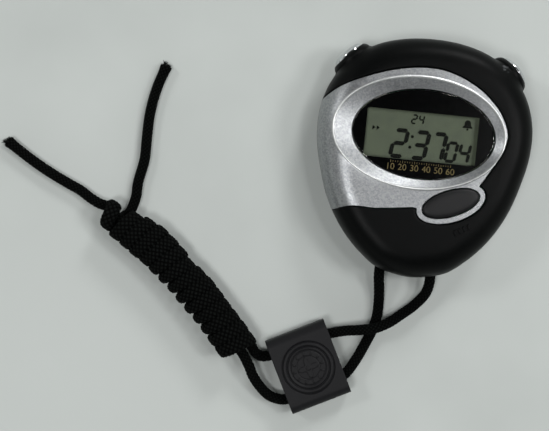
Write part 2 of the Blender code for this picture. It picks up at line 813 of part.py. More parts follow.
def make_rear_housing():
    housing = case_solid("rear_housing", -1, 0, 1 * MM, BLACK_ABS)
    for side_name in RIGS:
        boolean(
            housing,
            collar_cylinder(
                f"rear_collar_{side_name}", side_name, COLLAR_RADIUS, COLLAR_ROOT, COLLAR_FACE
            ),
            "UNION",
        )
    above = box("rear_parting", (-60 * MM, -60 * MM, PARTING_Z - SEAM), (60 * MM, 60 * MM, 60 * MM))
    boolean(housing, above)

    cavity = case_solid("rear_cavity", -1, REAR_WALL, 5 * MM, steps=3)
    head_radius = CASE_SCREW_HEAD[0] + FIT
    for i, (x, y) in enumerate(CASE_SCREW_PLACES, 1):
        boolean(
            cavity,
            cylinder(
                f"case_tube_{i}", (x * MM, y * MM), head_radius + CASE_TUBE_WALL, BELOW, SKY, sides=14
            ),
        )
    holder_radius = DOOR_RADIUS + LUG_REACH + FIT + HOLDER_WALL
    boolean(cavity, cylinder("holder", BATTERY_CENTRE, holder_radius, BELOW, HOLDER_TOP_Z, sides=28))
    seat_radius = BUZZER_RADIUS + FIT + BUZZER_WALL
    boolean(cavity, cylinder("buzzer_seat", BUZZER_CENTRE, seat_radius, BELOW, BUZZER_RIM_Z, sides=28))
    anchor = (sum(LANYARD_HOLES_X) / 2, LANYARD_MOUTH_Y + BIGHT_DEPTH)
    boolean(cavity, cylinder("lanyard_anchor", anchor, ANCHOR_RADIUS, BELOW, ANCHOR_TOP, sides=20))
    for side_name in RIGS:
        boolean(
            cavity,
            collar_cylinder(
                f"rear_boss_{side_name}", side_name, COLLAR_RADIUS, WEB_INNER, SKY + COLLAR_FACE
            ),
        )
    boolean(housing, cavity)

    for i, (x, y) in enumerate(CASE_SCREW_PLACES, 1):
        seat = CASE_SCREW_RECESS + CASE_SCREW_HEAD[1] + FIT
        boolean(housing, cylinder(f"head_recess_{i}", (x * MM, y * MM), head_radius, BELOW, seat, sides=14))
        boolean(
            housing,
            cylinder(f"shank_hole_{i}", (x * MM, y * MM), CASE_SCREW_RADIUS + FIT, BELOW, SKY, sides=8),
        )
    cut_battery_bay(housing)
    boolean(
        housing,
        cylinder("buzzer_recess", BUZZER_CENTRE, BUZZER_RADIUS + FIT, BUZZER_Z - FIT, SKY, sides=28),
    )
    boolean(
        housing,
        cylinder("buzzer_chamber", BUZZER_CENTRE, BUZZER_RADIUS - 1.2 * MM, FLOOR_Z, SKY, sides=20),
    )
    holes = [BUZZER_CENTRE]
    for i in range(SOUND_HOLE_COUNT):
        angle = 2 * math.pi * i / SOUND_HOLE_COUNT
        holes.append(
            (
                BUZZER_CENTRE[0] + SOUND_HOLE_CIRCLE * math.cos(angle),
                BUZZER_CENTRE[1] + SOUND_HOLE_CIRCLE * math.sin(angle),
            )
        )
    for i, hole in enumerate(holes, 1):
        boolean(
            housing,
            cylinder(f"sound_hole_{i}", hole, SOUND_HOLE_RADIUS, BELOW, FLOOR_Z + 1 * MM, sides=8),
        )
    for i, x in enumerate(LANYARD_HOLES_X, 1):
        inner_end = -BIGHT_DEPTH - 3 * MM
        hole = cylinder(f"lanyard_hole_{i}", (0, 0), LANYARD_HOLE / 2, inner_end, 4 * MM, sides=12)
        hole.location = (x, LANYARD_MOUTH_Y, LANYARD_Z)
        hole.rotation_euler.x = math.radians(90)
        boolean(housing, hole)
    cut_button_bores(housing, "rear")
    return housing


def cut_battery_bay(housing):
    """The door's opening with its lug notches, the chamber that the lugs turn in and the well above it."""
    boolean(
        housing,
        cylinder("door_opening", BATTERY_CENTRE, DOOR_RADIUS + FIT, BELOW, FLOOR_Z + LUG_CHAMBER, sides=28),
    )
    reach = DOOR_RADIUS + LUG_REACH + FIT
    boolean(
        housing, cylinder("lug_chamber", BATTERY_CENTRE, reach, FLOOR_Z, FLOOR_Z + LUG_CHAMBER, sides=28)
    )
    for i in range(LUG_COUNT):
        notch = prism(
            f"lug_notch_{i + 1}",
            sector(reach, LUG_SPAN + 4, 360 / LUG_COUNT * i - DOOR_TURN),
            BELOW,
            FLOOR_Z + LUG_CHAMBER / 2,
        )
        boolean(housing, notch)
    boolean(
        housing, cylinder("battery_well", BATTERY_CENTRE, BATTERY_RADIUS + FIT, FLOOR_Z, SKY, sides=24)
    )
    boolean(
        housing,
        box(
            "contact_slot",
            (
                BATTERY_CENTRE[0] - CONTACT_WIDTH / 2 - FIT,
                BATTERY_CENTRE[1] + BATTERY_RADIUS - 1 * MM,
                CONTACT_FOOT_Z,
            ),
            (
                BATTERY_CENTRE[0] + CONTACT_WIDTH / 2 + FIT,
                BATTERY_CENTRE[1] + BATTERY_RADIUS + 4 * FIT + CONTACT_THICKNESS,
                SKY,
            ),
        ),
    )


def sector(radius, span, middle, steps=6):
    """A slice of a disc round the battery's centre, wide enough to take one lug."""
    points = [np.array(BATTERY_CENTRE)]
    for step in range(steps + 1):
        angle = math.radians(middle + span * (step / steps - 0.5))
        points.append(np.array(BATTERY_CENTRE) + radius * np.array([math.cos(angle), math.sin(angle)]))
    return np.array(points)


DOOR_TOP_Z = DOOR_RECESS + DOOR_THICKNESS
LUG_Z = FLOOR_Z + FIT
LUG_CHAMBER = LUG_THICKNESS + 2 * FIT
BATTERY_Z = DOOR_TOP_Z + FIT
HOLDER_TOP_Z = BATTERY_Z + BATTERY_HEIGHT - BATTERY_CAP[1]
CONTACT_FOOT_Z = FLOOR_Z + LUG_CHAMBER
BUZZER_Z = FLOOR_Z + BUZZER_LEDGE + FIT
BUZZER_RIM_Z = BUZZER_Z + BUZZER_THICKNESS + FIT
BIGHT_RADIUS = (LANYARD_HOLES_X[1] - LANYARD_HOLES_X[0]) / 2
ANCHOR_RADIUS = BIGHT_RADIUS - LANYARD_HOLE / 2 - 0.1 * MM


def make_face_plate():
    plate = plate_region("silver_face_plate", 0, PARTING_Z + PLATE_FOOT)
    cutters.objects.unlink(plate)
    watch.objects.link(plate)
    plate.hide_render = False
    plate.display_type = "TEXTURED"
    plate.data.materials.append(SILVER_PAINT)
    boolean(plate, case_solid("plate_outside", 1, 0, 5 * MM), "INTERSECT")
    boolean(plate, dished_front(PLATE_THICKNESS))
    boolean(plate, dish(0))
    boolean(
        plate, prism("lens_opening", oval(LENS_CENTRE, wider(LENS_RADII, FIT / 2)), PARTING_Z, SKY)
    )
    boolean(
        plate,
        prism(
            "mode_opening", oval(MODE_CENTRE, wider(MODE_RADII, FIT / 2), MODE_TILT, 28), PARTING_Z, SKY
        ),
    )
    return plate


# Display
def make_display():
    radii = wider(LENS_RADII, -FIT / 2)
    rim = oval(LENS_CENTRE, radii)
    rings = [ring_at(rim, LENS_BOTTOM_Z), ring_at(rim, LENS_EDGE_Z - 0.2 * MM)]
    for share in (0.985, 0.7, 0.3):
        height = LENS_EDGE_Z + LENS_CROWN * (1 - share**2)
        rings.append(ring_at(oval(LENS_CENTRE, (radii[0] * share, radii[1] * share)), height))
    loft("lens", rings, CLEAR_ACRYLIC)

    mask = prism("display_mask", rim, MASK_Z, MASK_Z + MASK_THICKNESS, BLACK_PRINT)
    x, y = WINDOW_CENTRE
    width, height = WINDOW_SIZE
    boolean(
        mask,
        box(
            "mask_window",
            (x - width / 2, y - height / 2, PARTING_Z),
            (x + width / 2, y + height / 2, SKY),
        ),
    )

    sheet = (width / 2 + WINDOW_MARGIN - 2 * FIT, height / 2 + WINDOW_MARGIN - 2 * FIT)
    low = GLASS_TOP_Z + FIT
    box(
        "front_polariser",
        (x - sheet[0], y - sheet[1], low),
        (x + sheet[0], y + sheet[1], low + POLARISER_THICKNESS),
        LCD_GLASS,
    )
    box(
        "lcd_glass",
        (x - GLASS_SIZE[0] / 2, y - GLASS_SIZE[1] / 2, GLASS_BOTTOM_Z),
        (x + GLASS_SIZE[0] / 2, y + GLASS_SIZE[1] / 2, GLASS_TOP_Z),
        LCD_GREEN,
    )
    high = GLASS_BOTTOM_Z - FIT
    reach = GLASS_SIZE[1] / 2 - FIT - ZEBRA_SIZE[1] - 2 * FIT - FRAME_RIB - FIT
    box(
        "lcd_reflector",
        (x - width / 2, y - reach, high - POLARISER_THICKNESS),
        (x + width / 2, y + reach, high),
        STEEL,
    )
    for name, side in (("upper_zebra_strip", 1), ("lower_zebra_strip", -1)):
        middle = y + side * ZEBRA_OFFSET
        box(
            name,
            (x - ZEBRA_SIZE[0] / 2, middle - ZEBRA_SIZE[1] / 2, ZEBRA_BOTTOM_Z),
            (x + ZEBRA_SIZE[0] / 2, middle + ZEBRA_SIZE[1] / 2, ZEBRA_TOP_Z),
            ELASTOMER,
        )
    make_lcd_frame(x, y, reach)


FRAME_RIB = 1.0 * MM
ZEBRA_OFFSET = GLASS_SIZE[1] / 2 - FIT - ZEBRA_SIZE[1] / 2


def make_lcd_frame(x, y, reach):
    """A moulded frame on the board: a pocket for the glass, a slot for each strip and a gap between."""
    half = (GLASS_SIZE[0] / 2 + FIT, GLASS_SIZE[1] / 2 + FIT)
    frame = box(
        "lcd_frame",
        (x - half[0] - FRAME_WALL, y - half[1] - FRAME_WALL, BOARD_TOP_Z + FIT),
        (x + half[0] + FRAME_WALL, y + half[1] + FRAME_WALL, GLASS_TOP_Z - FIT),
        FRAME_NYLON,
    )
    pocket_floor = GLASS_BOTTOM_Z - FIT
    boolean(
        frame,
        box("glass_pocket", (x - half[0], y - half[1], pocket_floor), (x + half[0], y + half[1], SKY)),
    )
    for i, side in enumerate((-1, 1), 1):
        middle = y + side * ZEBRA_OFFSET
        boolean(
            frame,
            box(
                f"strip_slot_{i}",
                (x - ZEBRA_SIZE[0] / 2 - FIT, middle - ZEBRA_SIZE[1] / 2 - FIT, BELOW),
                (x + ZEBRA_SIZE[0] / 2 + FIT, middle + ZEBRA_SIZE[1] / 2 + FIT, SKY),
            ),
        )
    boolean(
        frame,
        box(
            "reflector_gap",
            (x - WINDOW_SIZE[0] / 2 - FIT, y - reach - FIT, BELOW),
            (x + WINDOW_SIZE[0] / 2 + FIT, y + reach + FIT, SKY),
        ),
    )


# Electronics
def make_electronics():
    board = prism(
        "circuit_board", np.array(BOARD_OUTLINE) * MM, BOARD_BOTTOM_Z, BOARD_TOP_Z, BOARD_GREEN
    )
    for i, (x, y) in enumerate(BOARD_SCREW_PLACES, 1):
        boolean(
            board,
            cylinder(
                f"board_hole_{i}", (x * MM, y * MM), BOARD_SCREW_RADIUS + FIT, BELOW, SKY, sides=12
            ),
        )
        head_radius, head_height = BOARD_SCREW_HEAD
        top = BOARD_BOTTOM_Z - FIT
        turned(
            f"board_screw_{i}",
            [
                (0, top + BOARD_SCREW_LENGTH - 0.3 * MM),
                (BOARD_SCREW_RADIUS, top + BOARD_SCREW_LENGTH - 1.1 * MM),
                (BOARD_SCREW_RADIUS, top),
                (head_radius, top),
                (head_radius, top - head_height * 0.6),
                (head_radius * 0.6, top - head_height),
                (0, top - head_height),
            ],
            STEEL,
            location=(x * MM, y * MM, 0),
            sides=12,
        )
    under = BOARD_BOTTOM_Z - FIT
    turned(
        "chip_blob",
        [
            (0, under),
            (5.0 * MM, under),
            (4.6 * MM, under - 0.8 * MM),
            (3.2 * MM, under - 1.5 * MM),
            (0, under - 1.8 * MM),
        ],
        EPOXY,
        location=(14.5 * MM, -3.0 * MM, 0),
        sides=20,
    )
    crystal = cylinder("quartz_crystal", (0, 0), 1.0 * MM, -3.0 * MM, 3.0 * MM, STEEL, sides=12)
    crystal.rotation_euler.x = math.radians(90)
    crystal.location = (19.5 * MM, 6.0 * MM, under - 1.0 * MM)
    for i, y in enumerate((5.0, 8.0), 1):
        box(
            f"chip_capacitor_{i}",
            (13.2 * MM, y * MM, under - 0.9 * MM),
            (15.2 * MM, (y + 1.25) * MM, under),
            FRAME_NYLON,
        )
    make_buzzer(under)
    make_battery(under)


def make_buzzer(under):
    top = BUZZER_Z + BUZZER_THICKNESS + CERAMIC_THICKNESS
    turned(
        "buzzer_disc",
        [
            (0, top),
            (CERAMIC_RADIUS, top),
            (CERAMIC_RADIUS, BUZZER_Z + BUZZER_THICKNESS),
            (BUZZER_RADIUS, BUZZER_Z + BUZZER_THICKNESS),
            (BUZZER_RADIUS, BUZZER_Z),
            (0, BUZZER_Z),
        ],
        BRASS,
        location=(*BUZZER_CENTRE, 0),
        sides=28,
    )
    wire = SPRING_WIRE / 2
    helix = coil((0, 0), BUZZER_SPRING_RADIUS, top + FIT + wire, under - wire, 4, 8)
    spring = tube("buzzer_spring", helix, SPRING_WIRE, STEEL, 0)
    spring.location = (*BUZZER_CENTRE, 0)


def coil(centre, radius, low, high, turns, points):
    """Points of a helix about an upright line."""
    count = turns * points
    line = []
    for i in range(count + 1):
        angle = 2 * math.pi * i / points
        line.append(
            (
                centre[0] + radius * math.cos(angle),
                centre[1] + radius * math.sin(angle),
                low + (high - low) * i / count,
            )
        )
    return line


def make_battery(under):
    cap_radius, cap_height = BATTERY_CAP
    top = BATTERY_Z + BATTERY_HEIGHT
    turned(
        "battery",
        [
            (0, top),
            (cap_radius, top),
            (cap_radius, top - cap_height),
            (BATTERY_RADIUS - 0.3 * MM, top - cap_height),
            (BATTERY_RADIUS, top - cap_height - 0.3 * MM),
            (BATTERY_RADIUS, BATTERY_Z + 0.3 * MM),
            (BATTERY_RADIUS - 0.3 * MM, BATTERY_Z),
            (0, BATTERY_Z),
        ],
        STEEL,
        location=(*BATTERY_CENTRE, 0),
        sides=28,
    )
    half = CONTACT_THICKNESS / 2
    place = Matrix.Translation((*BATTERY_CENTRE, 0))
    low = top + FIT + half
    strip(
        "battery_contact_minus",
        [(2.0 * MM, low), (-3.0 * MM, low), (-7.0 * MM, under - half)],
        CONTACT_WIDTH,
        CONTACT_THICKNESS,
        STEEL,
        place,
    )
    side = BATTERY_RADIUS + FIT + half
    strip(
        "battery_contact_plus",
        [(side, CONTACT_FOOT_Z + FIT), (side, under - half), (side + 4.0 * MM, under - half)],
        CONTACT_WIDTH,
        CONTACT_THICKNESS,
        STEEL,
        place,
    )
    make_battery_door()


def make_battery_door():
    """A disc with a coin slot, a rim round the battery and lugs that turn over the housing's floor."""
    axis = bpy.data.objects.new("battery_door_axis", None)
    watch.objects.link(axis)
    axis.location = (*BATTERY_CENTRE, 0)
    rim = BATTERY_RADIUS + 2 * FIT
    lug_top = LUG_Z + LUG_THICKNESS
    door = turned(
        "battery_door",
        [
            (rim, lug_top),
            (DOOR_RADIUS, lug_top),
            (DOOR_RADIUS, DOOR_RECESS + 0.3 * MM),
            (DOOR_RADIUS - 0.3 * MM, DOOR_RECESS),
            (0, DOOR_RECESS),
            (0, DOOR_TOP_Z),
            (rim, DOOR_TOP_Z),
        ],
        BLACK_ABS,
        parent=axis,
        sides=32,
        ring=True,
    )
    for i in range(LUG_COUNT):
        points = sector(DOOR_RADIUS + LUG_REACH, LUG_SPAN, 360 / LUG_COUNT * i)
        lug = prism(f"lug_{i + 1}", points, LUG_Z, lug_top)
        core = cylinder(f"lug_core_{i + 1}", BATTERY_CENTRE, rim + 0.5 * MM, BELOW, SKY, sides=24)
        boolean(lug, core)
        boolean(door, lug, "UNION")
    length, width, depth = SLOT_SIZE
    slot = box(
        "coin_slot",
        (BATTERY_CENTRE[0] - length / 2, BATTERY_CENTRE[1] - width / 2, BELOW),
        (BATTERY_CENTRE[0] + length / 2, BATTERY_CENTRE[1] + width / 2, DOOR_RECESS + depth),
    )
    boolean(door, slot)


# Screws
def make_case_screws():
    head_radius, head_height = CASE_SCREW_HEAD
    low = CASE_SCREW_RECESS
    top = low + head_height + CASE_SCREW_LENGTH
    for i, (x, y) in enumerate(CASE_SCREW_PLACES, 1):
        turned(
            f"case_screw_{i}",
            [
                (0, top),
                (CASE_SCREW_RADIUS, top - 1.4 * MM),
                (CASE_SCREW_RADIUS, low + head_height),
                (head_radius, low + head_height),
                (head_radius, low + head_height * 0.45),
                (head_radius * 0.6, low),
                (0, low),
            ],
            STEEL,
            location=(x * MM, y * MM, 0),
            sides=14,
        )


# Top buttons
def make_top_button(side_name):
    rig = RIGS[side_name]
    top = COLLAR_FACE + CAP_PROUD
    foot = top - CAP_HEIGHT
    inner = CAP_RADIUS - CAP_WALL
    under = top - CAP_TOP
    turned(
        f"{side_name}_button_cap",
        [
            (0, top),
            (CAP_RADIUS * 0.5, top - 0.15 * MM),
            (CAP_RADIUS * 0.82, top - 0.55 * MM),
            (CAP_RADIUS * 0.96, top - 1.15 * MM),
            (CAP_RADIUS, top - 1.9 * MM),
            (CAP_RADIUS, foot),
            (inner, foot),
            (inner, under),
            (0, under),
        ],
        CHROME,
        parent=rig,
        sides=28,
    )
    tip = WEB_INNER - STEM_REACH
    turned(
        f"{side_name}_button_stem",
        [
            (0, under - FIT),
            (STEM_RADIUS, under - FIT),
            (STEM_RADIUS, tip + 0.4 * MM),
            (STEM_RADIUS - 0.4 * MM, tip),
            (0, tip),
        ],
        BRASS,
        parent=rig,
        sides=16,
    )
    clip_top = WEB_INNER - FIT
    turned(
        f"{side_name}_button_clip",
        [
            (STEM_RADIUS + FIT, clip_top),
            (CLIP_RADIUS, clip_top),
            (CLIP_RADIUS, clip_top - CLIP_THICKNESS),
            (STEM_RADIUS + FIT, clip_top - CLIP_THICKNESS),
        ],
        STEEL,
        parent=rig,
        sides=16,
        ring=True,
    )
    gap = FIT + SPRING_WIRE / 2
    helix = coil((0, 0), SPRING_RADIUS, WEB_OUTER + gap, under - gap, SPRING_TURNS, 8)
    spring = tube(f"{side_name}_button_spring", helix, SPRING_WIRE, STEEL, 0)
    spring.parent = rig

    # The leaf stands on the board with its face to the tip of the stem
    turn = math.radians(BUTTON_ANGLE) * (-1 if side_name == "right" else 1)
    place = Matrix.Translation((0, BUTTON_CROSS_Y, 0)) @ Matrix.Rotation(turn, 4, "Z")
    face = tip - FIT - LEAF_THICKNESS / 2
    foot_z = BOARD_TOP_Z + FIT + LEAF_THICKNESS / 2
    strip(
        f"{side_name}_switch_leaf",
        [(face - 3.2 * MM, foot_z), (face, foot_z), (face, foot_z + 2.2 * MM)],
        LEAF_WIDTH,
        LEAF_THICKNESS,
        BRASS,
        place,
    )


# Mode button
def make_mode_button():
    """An oval key with a flange under the housing and a plunger over the rubber pad on the board."""
    radii = wider(MODE_RADII, -FIT / 2)
    flange = wider(MODE_RADII, MODE_FLANGE)
    flange_top = ROOF_Z - FIT
    flange_bottom = flange_top - MODE_FLANGE_THICKNESS
    pad_top = BOARD_TOP_Z + FIT + PAD_HEIGHT
    top = FACE_Z + MODE_PROUD

    def oval_ring(size, z):
        return ring_at(oval(MODE_CENTRE, size, MODE_TILT, 28), z)

    loft(
        "mode_button",
        [
            oval_ring(PLUNGER_RADII, pad_top + FIT),
            oval_ring(PLUNGER_RADII, flange_bottom),
            oval_ring(flange, flange_bottom),
            oval_ring(flange, flange_top),
            oval_ring(radii, flange_top),
            oval_ring(radii, FACE_Z - 0.2 * MM),
            oval_ring(wider(radii, -0.35 * MM), FACE_Z + 0.2 * MM),
            oval_ring(wider(radii, -1.3 * MM), top - 0.1 * MM),
            oval_ring(wider(radii, -2.6 * MM), top),
        ],
        RUBBER,
    )
    base = BOARD_TOP_Z + FIT
    loft(
        "mode_button_pad",
        [
            oval_ring(PAD_RADII, base),
            oval_ring(PAD_RADII, base + PAD_BASE),
            oval_ring(wider(PAD_RADII, -0.8 * MM), base + PAD_BASE),
            oval_ring(wider(PLUNGER_RADII, 0.4 * MM), pad_top),
        ],
        RUBBER,
    )


# Lanyard
AXIS_LINE = smooth_line(KNOT_AXIS, CURVE_STEPS) * MM
AXIS_TRAVELLED = np.concatenate([[0], np.cumsum(np.linalg.norm(np.diff(AXIS_LINE, axis=0), axis=1))])
AXIS_DIRECTION = np.gradient(AXIS_LINE, AXIS_TRAVELLED, axis=0)
WINDING_END = FIRST_SIDE + TURN_PITCH * TURN_COUNT
CORE_END = WINDING_END - CORE_MARGIN
END_TURN_START = WINDING_END - END_TURN_LEAD


def knot_point(along, across, up):
    """A point by its place along the knot's axis, across it to the right, and up from the table."""
    x, y = [np.interp(along, AXIS_TRAVELLED, AXIS_LINE[:, i]) for i in range(2)]
    forward_x, forward_y = [np.interp(along, AXIS_TRAVELLED, AXIS_DIRECTION[:, i]) for i in range(2)]
    return (x + across * forward_y, y - across * forward_x, up)


def turn_point(angle, along, half_width, half_height):
    """A point on a turn: its angle about the axis, from the right side up, and its place along the axis."""
    turn = math.radians(angle)
    return knot_point(along, half_width * math.cos(turn), KNOT_Z + half_height * math.sin(turn))


def winding_points():
    """Strand B in the knot: its lead-in, then its turns, which end under the core."""
    first = LEAD_IN_ANGLE
    last = 360 * TURN_COUNT
    points = []
    for angle in np.linspace(first, last, round((last - first) / 360 * TURN_POINTS) + 1):
        along = FIRST_SIDE + TURN_PITCH * angle / 360
        points.append(turn_point(angle, along, TURN_HALF_WIDTH, TURN_HALF_HEIGHT))
    return np.vstack([np.array(WINDING_START_ROUTE) * MM, points])


def end_turn_points():
    """Strand A past the winding: out from the axis into one turn, then away under the end of the knot."""
    first, last = END_TURN_ANGLES
    points = [knot_point(CORE_END, 0, KNOT_Z), knot_point((CORE_END + END_TURN_START) / 2, 0, KNOT_Z)]
    for share in np.linspace(0, 1, round((last - first) / 360 * TURN_POINTS)):
        angle = first + (last - first) * share**END_TURN_EASE
        swell = min(1.0, share / END_TURN_SWELL)
        swell = swell * swell * (3 - 2 * swell)
        along = END_TURN_START + END_TURN_LENGTH * share
        points.append(turn_point(angle, along, swell * END_TURN_HALF_WIDTH, swell * END_TURN_HALF_HEIGHT))
    return np.vstack([points, np.array(END_TURN_EXIT_ROUTE) * MM])


def cord_stretches(parts, spacings):
    """One tube's points for each part of a cord, read from one smooth curve through all of the parts.

    A part ends where the next one starts, less half of the gap between them.
    """
    line = smooth_line(np.vstack(parts), CURVE_STEPS)
    starts = np.cumsum([0] + [len(part) for part in parts]) * CURVE_STEPS
    starts[-1] = len(line) - 1
    stretches = []
    for first, last, spacing in zip(starts[:-1], starts[1:], spacings):
        piece = line[first : last + 1]
        steps = np.linalg.norm(np.diff(piece, axis=0), axis=1)
        travelled = np.concatenate([[0], np.cumsum(steps)])
        ends = (FIT / 2, travelled[-1] - FIT / 2)
        inner = np.linspace(ends[0] + FIT, ends[1] - FIT, round((ends[1] - ends[0]) / spacing) + 1)
        wanted = np.concatenate([ends[:1], inner, ends[1:]])
        stretches.append(np.column_stack([np.interp(wanted, travelled, piece[:, i]) for i in range(3)]))
    return stretches


def least_gap(points, diameter):
    """Least gap between places on one tube that are over three diameters apart along it."""
    apart = np.linalg.norm(points[:, None] - points[None, :], axis=2)
    travelled = np.concatenate([[0], np.cumsum(np.linalg.norm(np.diff(points, axis=0), axis=1))])
    far = np.abs(travelled[:, None] - travelled[None, :]) > 3 * diameter
    return apart[far].min() - diameter


def make_lanyard():
    make_bight()
    core = [knot_point(share * CORE_END, 0, KNOT_Z) for share in CORE_SHARES]
    strand_a = np.vstack([np.array(STRAND_A_ROUTE) * MM, core])
    turn_length = math.pi * (TURN_HALF_WIDTH + TURN_HALF_HEIGHT)
    spacings = (STRAND_SPACING, turn_length / TURN_POINTS, STRAND_SPACING)

    parts = [strand_a, end_turn_points(), np.array(LEFT_TAIL_ROUTE) * MM]
    add_cord(("lanyard_strand_a", "lanyard_end_turn", "lanyard_left_tail"), cord_stretches(parts, spacings))
    parts = [np.array(STRAND_B_ROUTE) * MM, winding_points(), np.array(RIGHT_TAIL_ROUTE) * MM]
    add_cord(("lanyard_strand_b", "lanyard_winding", "lanyard_right_tail"), cord_stretches(parts, spacings))
    make_slider()


def add_cord(names, stretches):
    """The tubes of one cord: a strand, its turns in the knot and its tail."""
    strand, turns, tail = stretches
    tube(names[0], strand, CORD, POLYESTER_CORD)
    tube(names[1], turns, CORD, POLYESTER_CORD, 1)
    tube(names[2], tail, CORD, POLYESTER_CORD)
    print(f"{names[1]}: least gap to itself {least_gap(turns, CORD) / MM:.2f} mm")


def make_bight():
    """The cord inside the case: in at one hole, round the anchor and out at the other."""
    middle = sum(LANYARD_HOLES_X) / 2
    points = [(LANYARD_HOLES_X[0], LANYARD_MOUTH_Y + FIT / 2, LANYARD_Z)]
    for step in range(13):
        angle = math.pi * (1 - step / 12)
        points.append(
            (
                middle + BIGHT_RADIUS * math.cos(angle),
                LANYARD_MOUTH_Y + BIGHT_DEPTH + BIGHT_RADIUS * math.sin(angle),
                LANYARD_Z,
            )
        )
    points.append((LANYARD_HOLES_X[1], LANYARD_MOUTH_Y + FIT / 2, LANYARD_Z))
    tube("lanyard_bight", points, CORD, POLYESTER_CORD)


def make_slider():
    axis = bpy.data.objects.new("slider_axis", None)
    watch.objects.link(axis)
    axis.location = (*SLIDER_CENTRE, 0)
    axis.rotation_euler.z = math.radians(SLIDER_ANGLE)
    half_length = SLIDER_LENGTH / 2
    half_width = SLIDER_WIDTH / 2
    section = []
    for corner_x, corner_z, start in (
        (half_width - SLIDER_ROUNDING, SLIDER_ROUNDING, -90),
        (half_width - SLIDER_ROUNDING, SLIDER_HEIGHT - SLIDER_ROUNDING, 0),
        (-half_width + SLIDER_ROUNDING, SLIDER_HEIGHT - SLIDER_ROUNDING, 90),
        (-half_width + SLIDER_ROUNDING, SLIDER_ROUNDING, 180),
    ):
        for step in range(5):
            angle = math.radians(start + 90 * step / 4)
            section.append(
                (corner_x + SLIDER_ROUNDING * math.cos(angle), corner_z + SLIDER_ROUNDING * math.sin(angle))
            )
    slider = loft(
        "cord_slider",
        [[(x, y, z) for y, z in section] for x in (-half_length, half_length)],
        SLIDER_PLASTIC,
        axis,
    )
    over = half_length + 1 * MM
    flat = CHANNEL_STRAIGHT / 2
    for i, side in enumerate((-1, 1), 1):
        rings = []
        for along in (-over, -half_length, -flat, flat, half_length, over):
            share = max(0.0, (abs(along) - flat) / (half_length - flat))
            wide = CHANNEL_RADIUS + CHANNEL_FLARE * share
            ring = oval((side * CHANNEL_SPACING / 2, SLIDER_HEIGHT / 2), (wide, CHANNEL_RADIUS), 0, 16)
            rings.append([(along, y, z) for y, z in ring])
        boolean(slider, loft(f"channel_{i}", rings, None, axis))
    for i, radius in enumerate(RING_RADII, 1):
        groove = turned(
            f"slider_ring_{i}",
            [
                (radius - RING_WIDTH / 2, SLIDER_HEIGHT + 1 * MM),
                (radius + RING_WIDTH / 2, SLIDER_HEIGHT + 1 * MM),
                (radius + RING_WIDTH / 2, SLIDER_HEIGHT - RING_DEPTH),
                (radius - RING_WIDTH / 2, SLIDER_HEIGHT - RING_DEPTH),
            ],
            None,
            axis,
            sides=24,
            ring=True,
        )
        boolean(slider, groove)


make_front_housing()
make_rear_housing()
make_face_plate()
make_display()
make_electronics()
make_case_screws()
for name in RIGS:
    make_top_button(name)
make_mode_button()
make_lanyard()
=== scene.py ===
# %% [markdown]
# # A hand stopwatch on a braided lanyard
# The watch lies on its back on a pale table, seen from straight above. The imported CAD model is
# loaded first and stays where it is. Each visible surface then gets its real finish, and the cord,
# the moulded shell, the face plate and the display are made again as finer surfaces in the same
# places. Sizes are in millimetres, and MM turns them to metres where a mesh or a lamp is made.

import json

import bmesh
import bpy
import numpy as np
from mathutils import Matrix

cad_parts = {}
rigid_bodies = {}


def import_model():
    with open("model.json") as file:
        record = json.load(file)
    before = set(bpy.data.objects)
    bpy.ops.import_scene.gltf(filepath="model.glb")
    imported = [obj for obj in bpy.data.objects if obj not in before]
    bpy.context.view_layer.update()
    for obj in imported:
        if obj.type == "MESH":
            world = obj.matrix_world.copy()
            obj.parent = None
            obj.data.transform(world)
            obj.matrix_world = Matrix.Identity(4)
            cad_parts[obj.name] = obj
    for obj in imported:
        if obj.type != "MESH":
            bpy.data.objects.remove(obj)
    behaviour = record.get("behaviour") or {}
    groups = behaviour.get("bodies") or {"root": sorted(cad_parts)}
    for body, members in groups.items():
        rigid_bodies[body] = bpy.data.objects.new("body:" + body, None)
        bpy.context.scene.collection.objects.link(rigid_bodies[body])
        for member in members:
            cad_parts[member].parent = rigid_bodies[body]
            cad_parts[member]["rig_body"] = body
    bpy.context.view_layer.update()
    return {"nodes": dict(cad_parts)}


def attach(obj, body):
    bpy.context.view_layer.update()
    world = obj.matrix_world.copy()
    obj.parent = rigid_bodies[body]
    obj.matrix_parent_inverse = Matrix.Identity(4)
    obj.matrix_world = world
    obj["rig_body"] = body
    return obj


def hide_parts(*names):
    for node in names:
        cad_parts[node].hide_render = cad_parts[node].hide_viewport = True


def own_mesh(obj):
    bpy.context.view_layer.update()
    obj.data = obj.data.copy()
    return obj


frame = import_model()
MM = 0.001

# %% [markdown]
# The photograph was taken from straight above with the phone turned a few degrees, so the watch
# looks turned clockwise. A camera 330 mm over the table gives the same slight spreading of the
# top of the case. The focal length comes from the width of table in view.

# %% Camera
SENSOR = 36.0
EYE = (-43.8, -22.3, 330.0)
VIEW_WIDTH = 176.5  # width of table in view
ROLL = 5.8


def new_object(name, data):
    """An object that carries this data, put in the scene."""
    made = bpy.data.objects.new(name, data)
    bpy.context.scene.collection.objects.link(made)
    return made


lens_view = bpy.data.cameras.new("photo_view")
lens_view.sensor_width = SENSOR
lens_view.lens = SENSOR * EYE[2] / VIEW_WIDTH
lens_view.clip_start = 0.01
eye = new_object("photo_view", lens_view)
eye.location = [value * MM for value in EYE]
eye.rotation_euler = (0, 0, np.radians(ROLL))
bpy.context.scene.camera = eye
print("focal length", round(lens_view.lens, 1), "mm")

# %% [markdown]
# A colour picked on a screen is an sRGB hex value, but a renderer adds up light in linear numbers,
# so one function turns the one into the other. The next adds a shader node with its settings and
# links, and a few short ones add the nodes that many finishes need. That keeps a material down to
# the lines that say something about it.


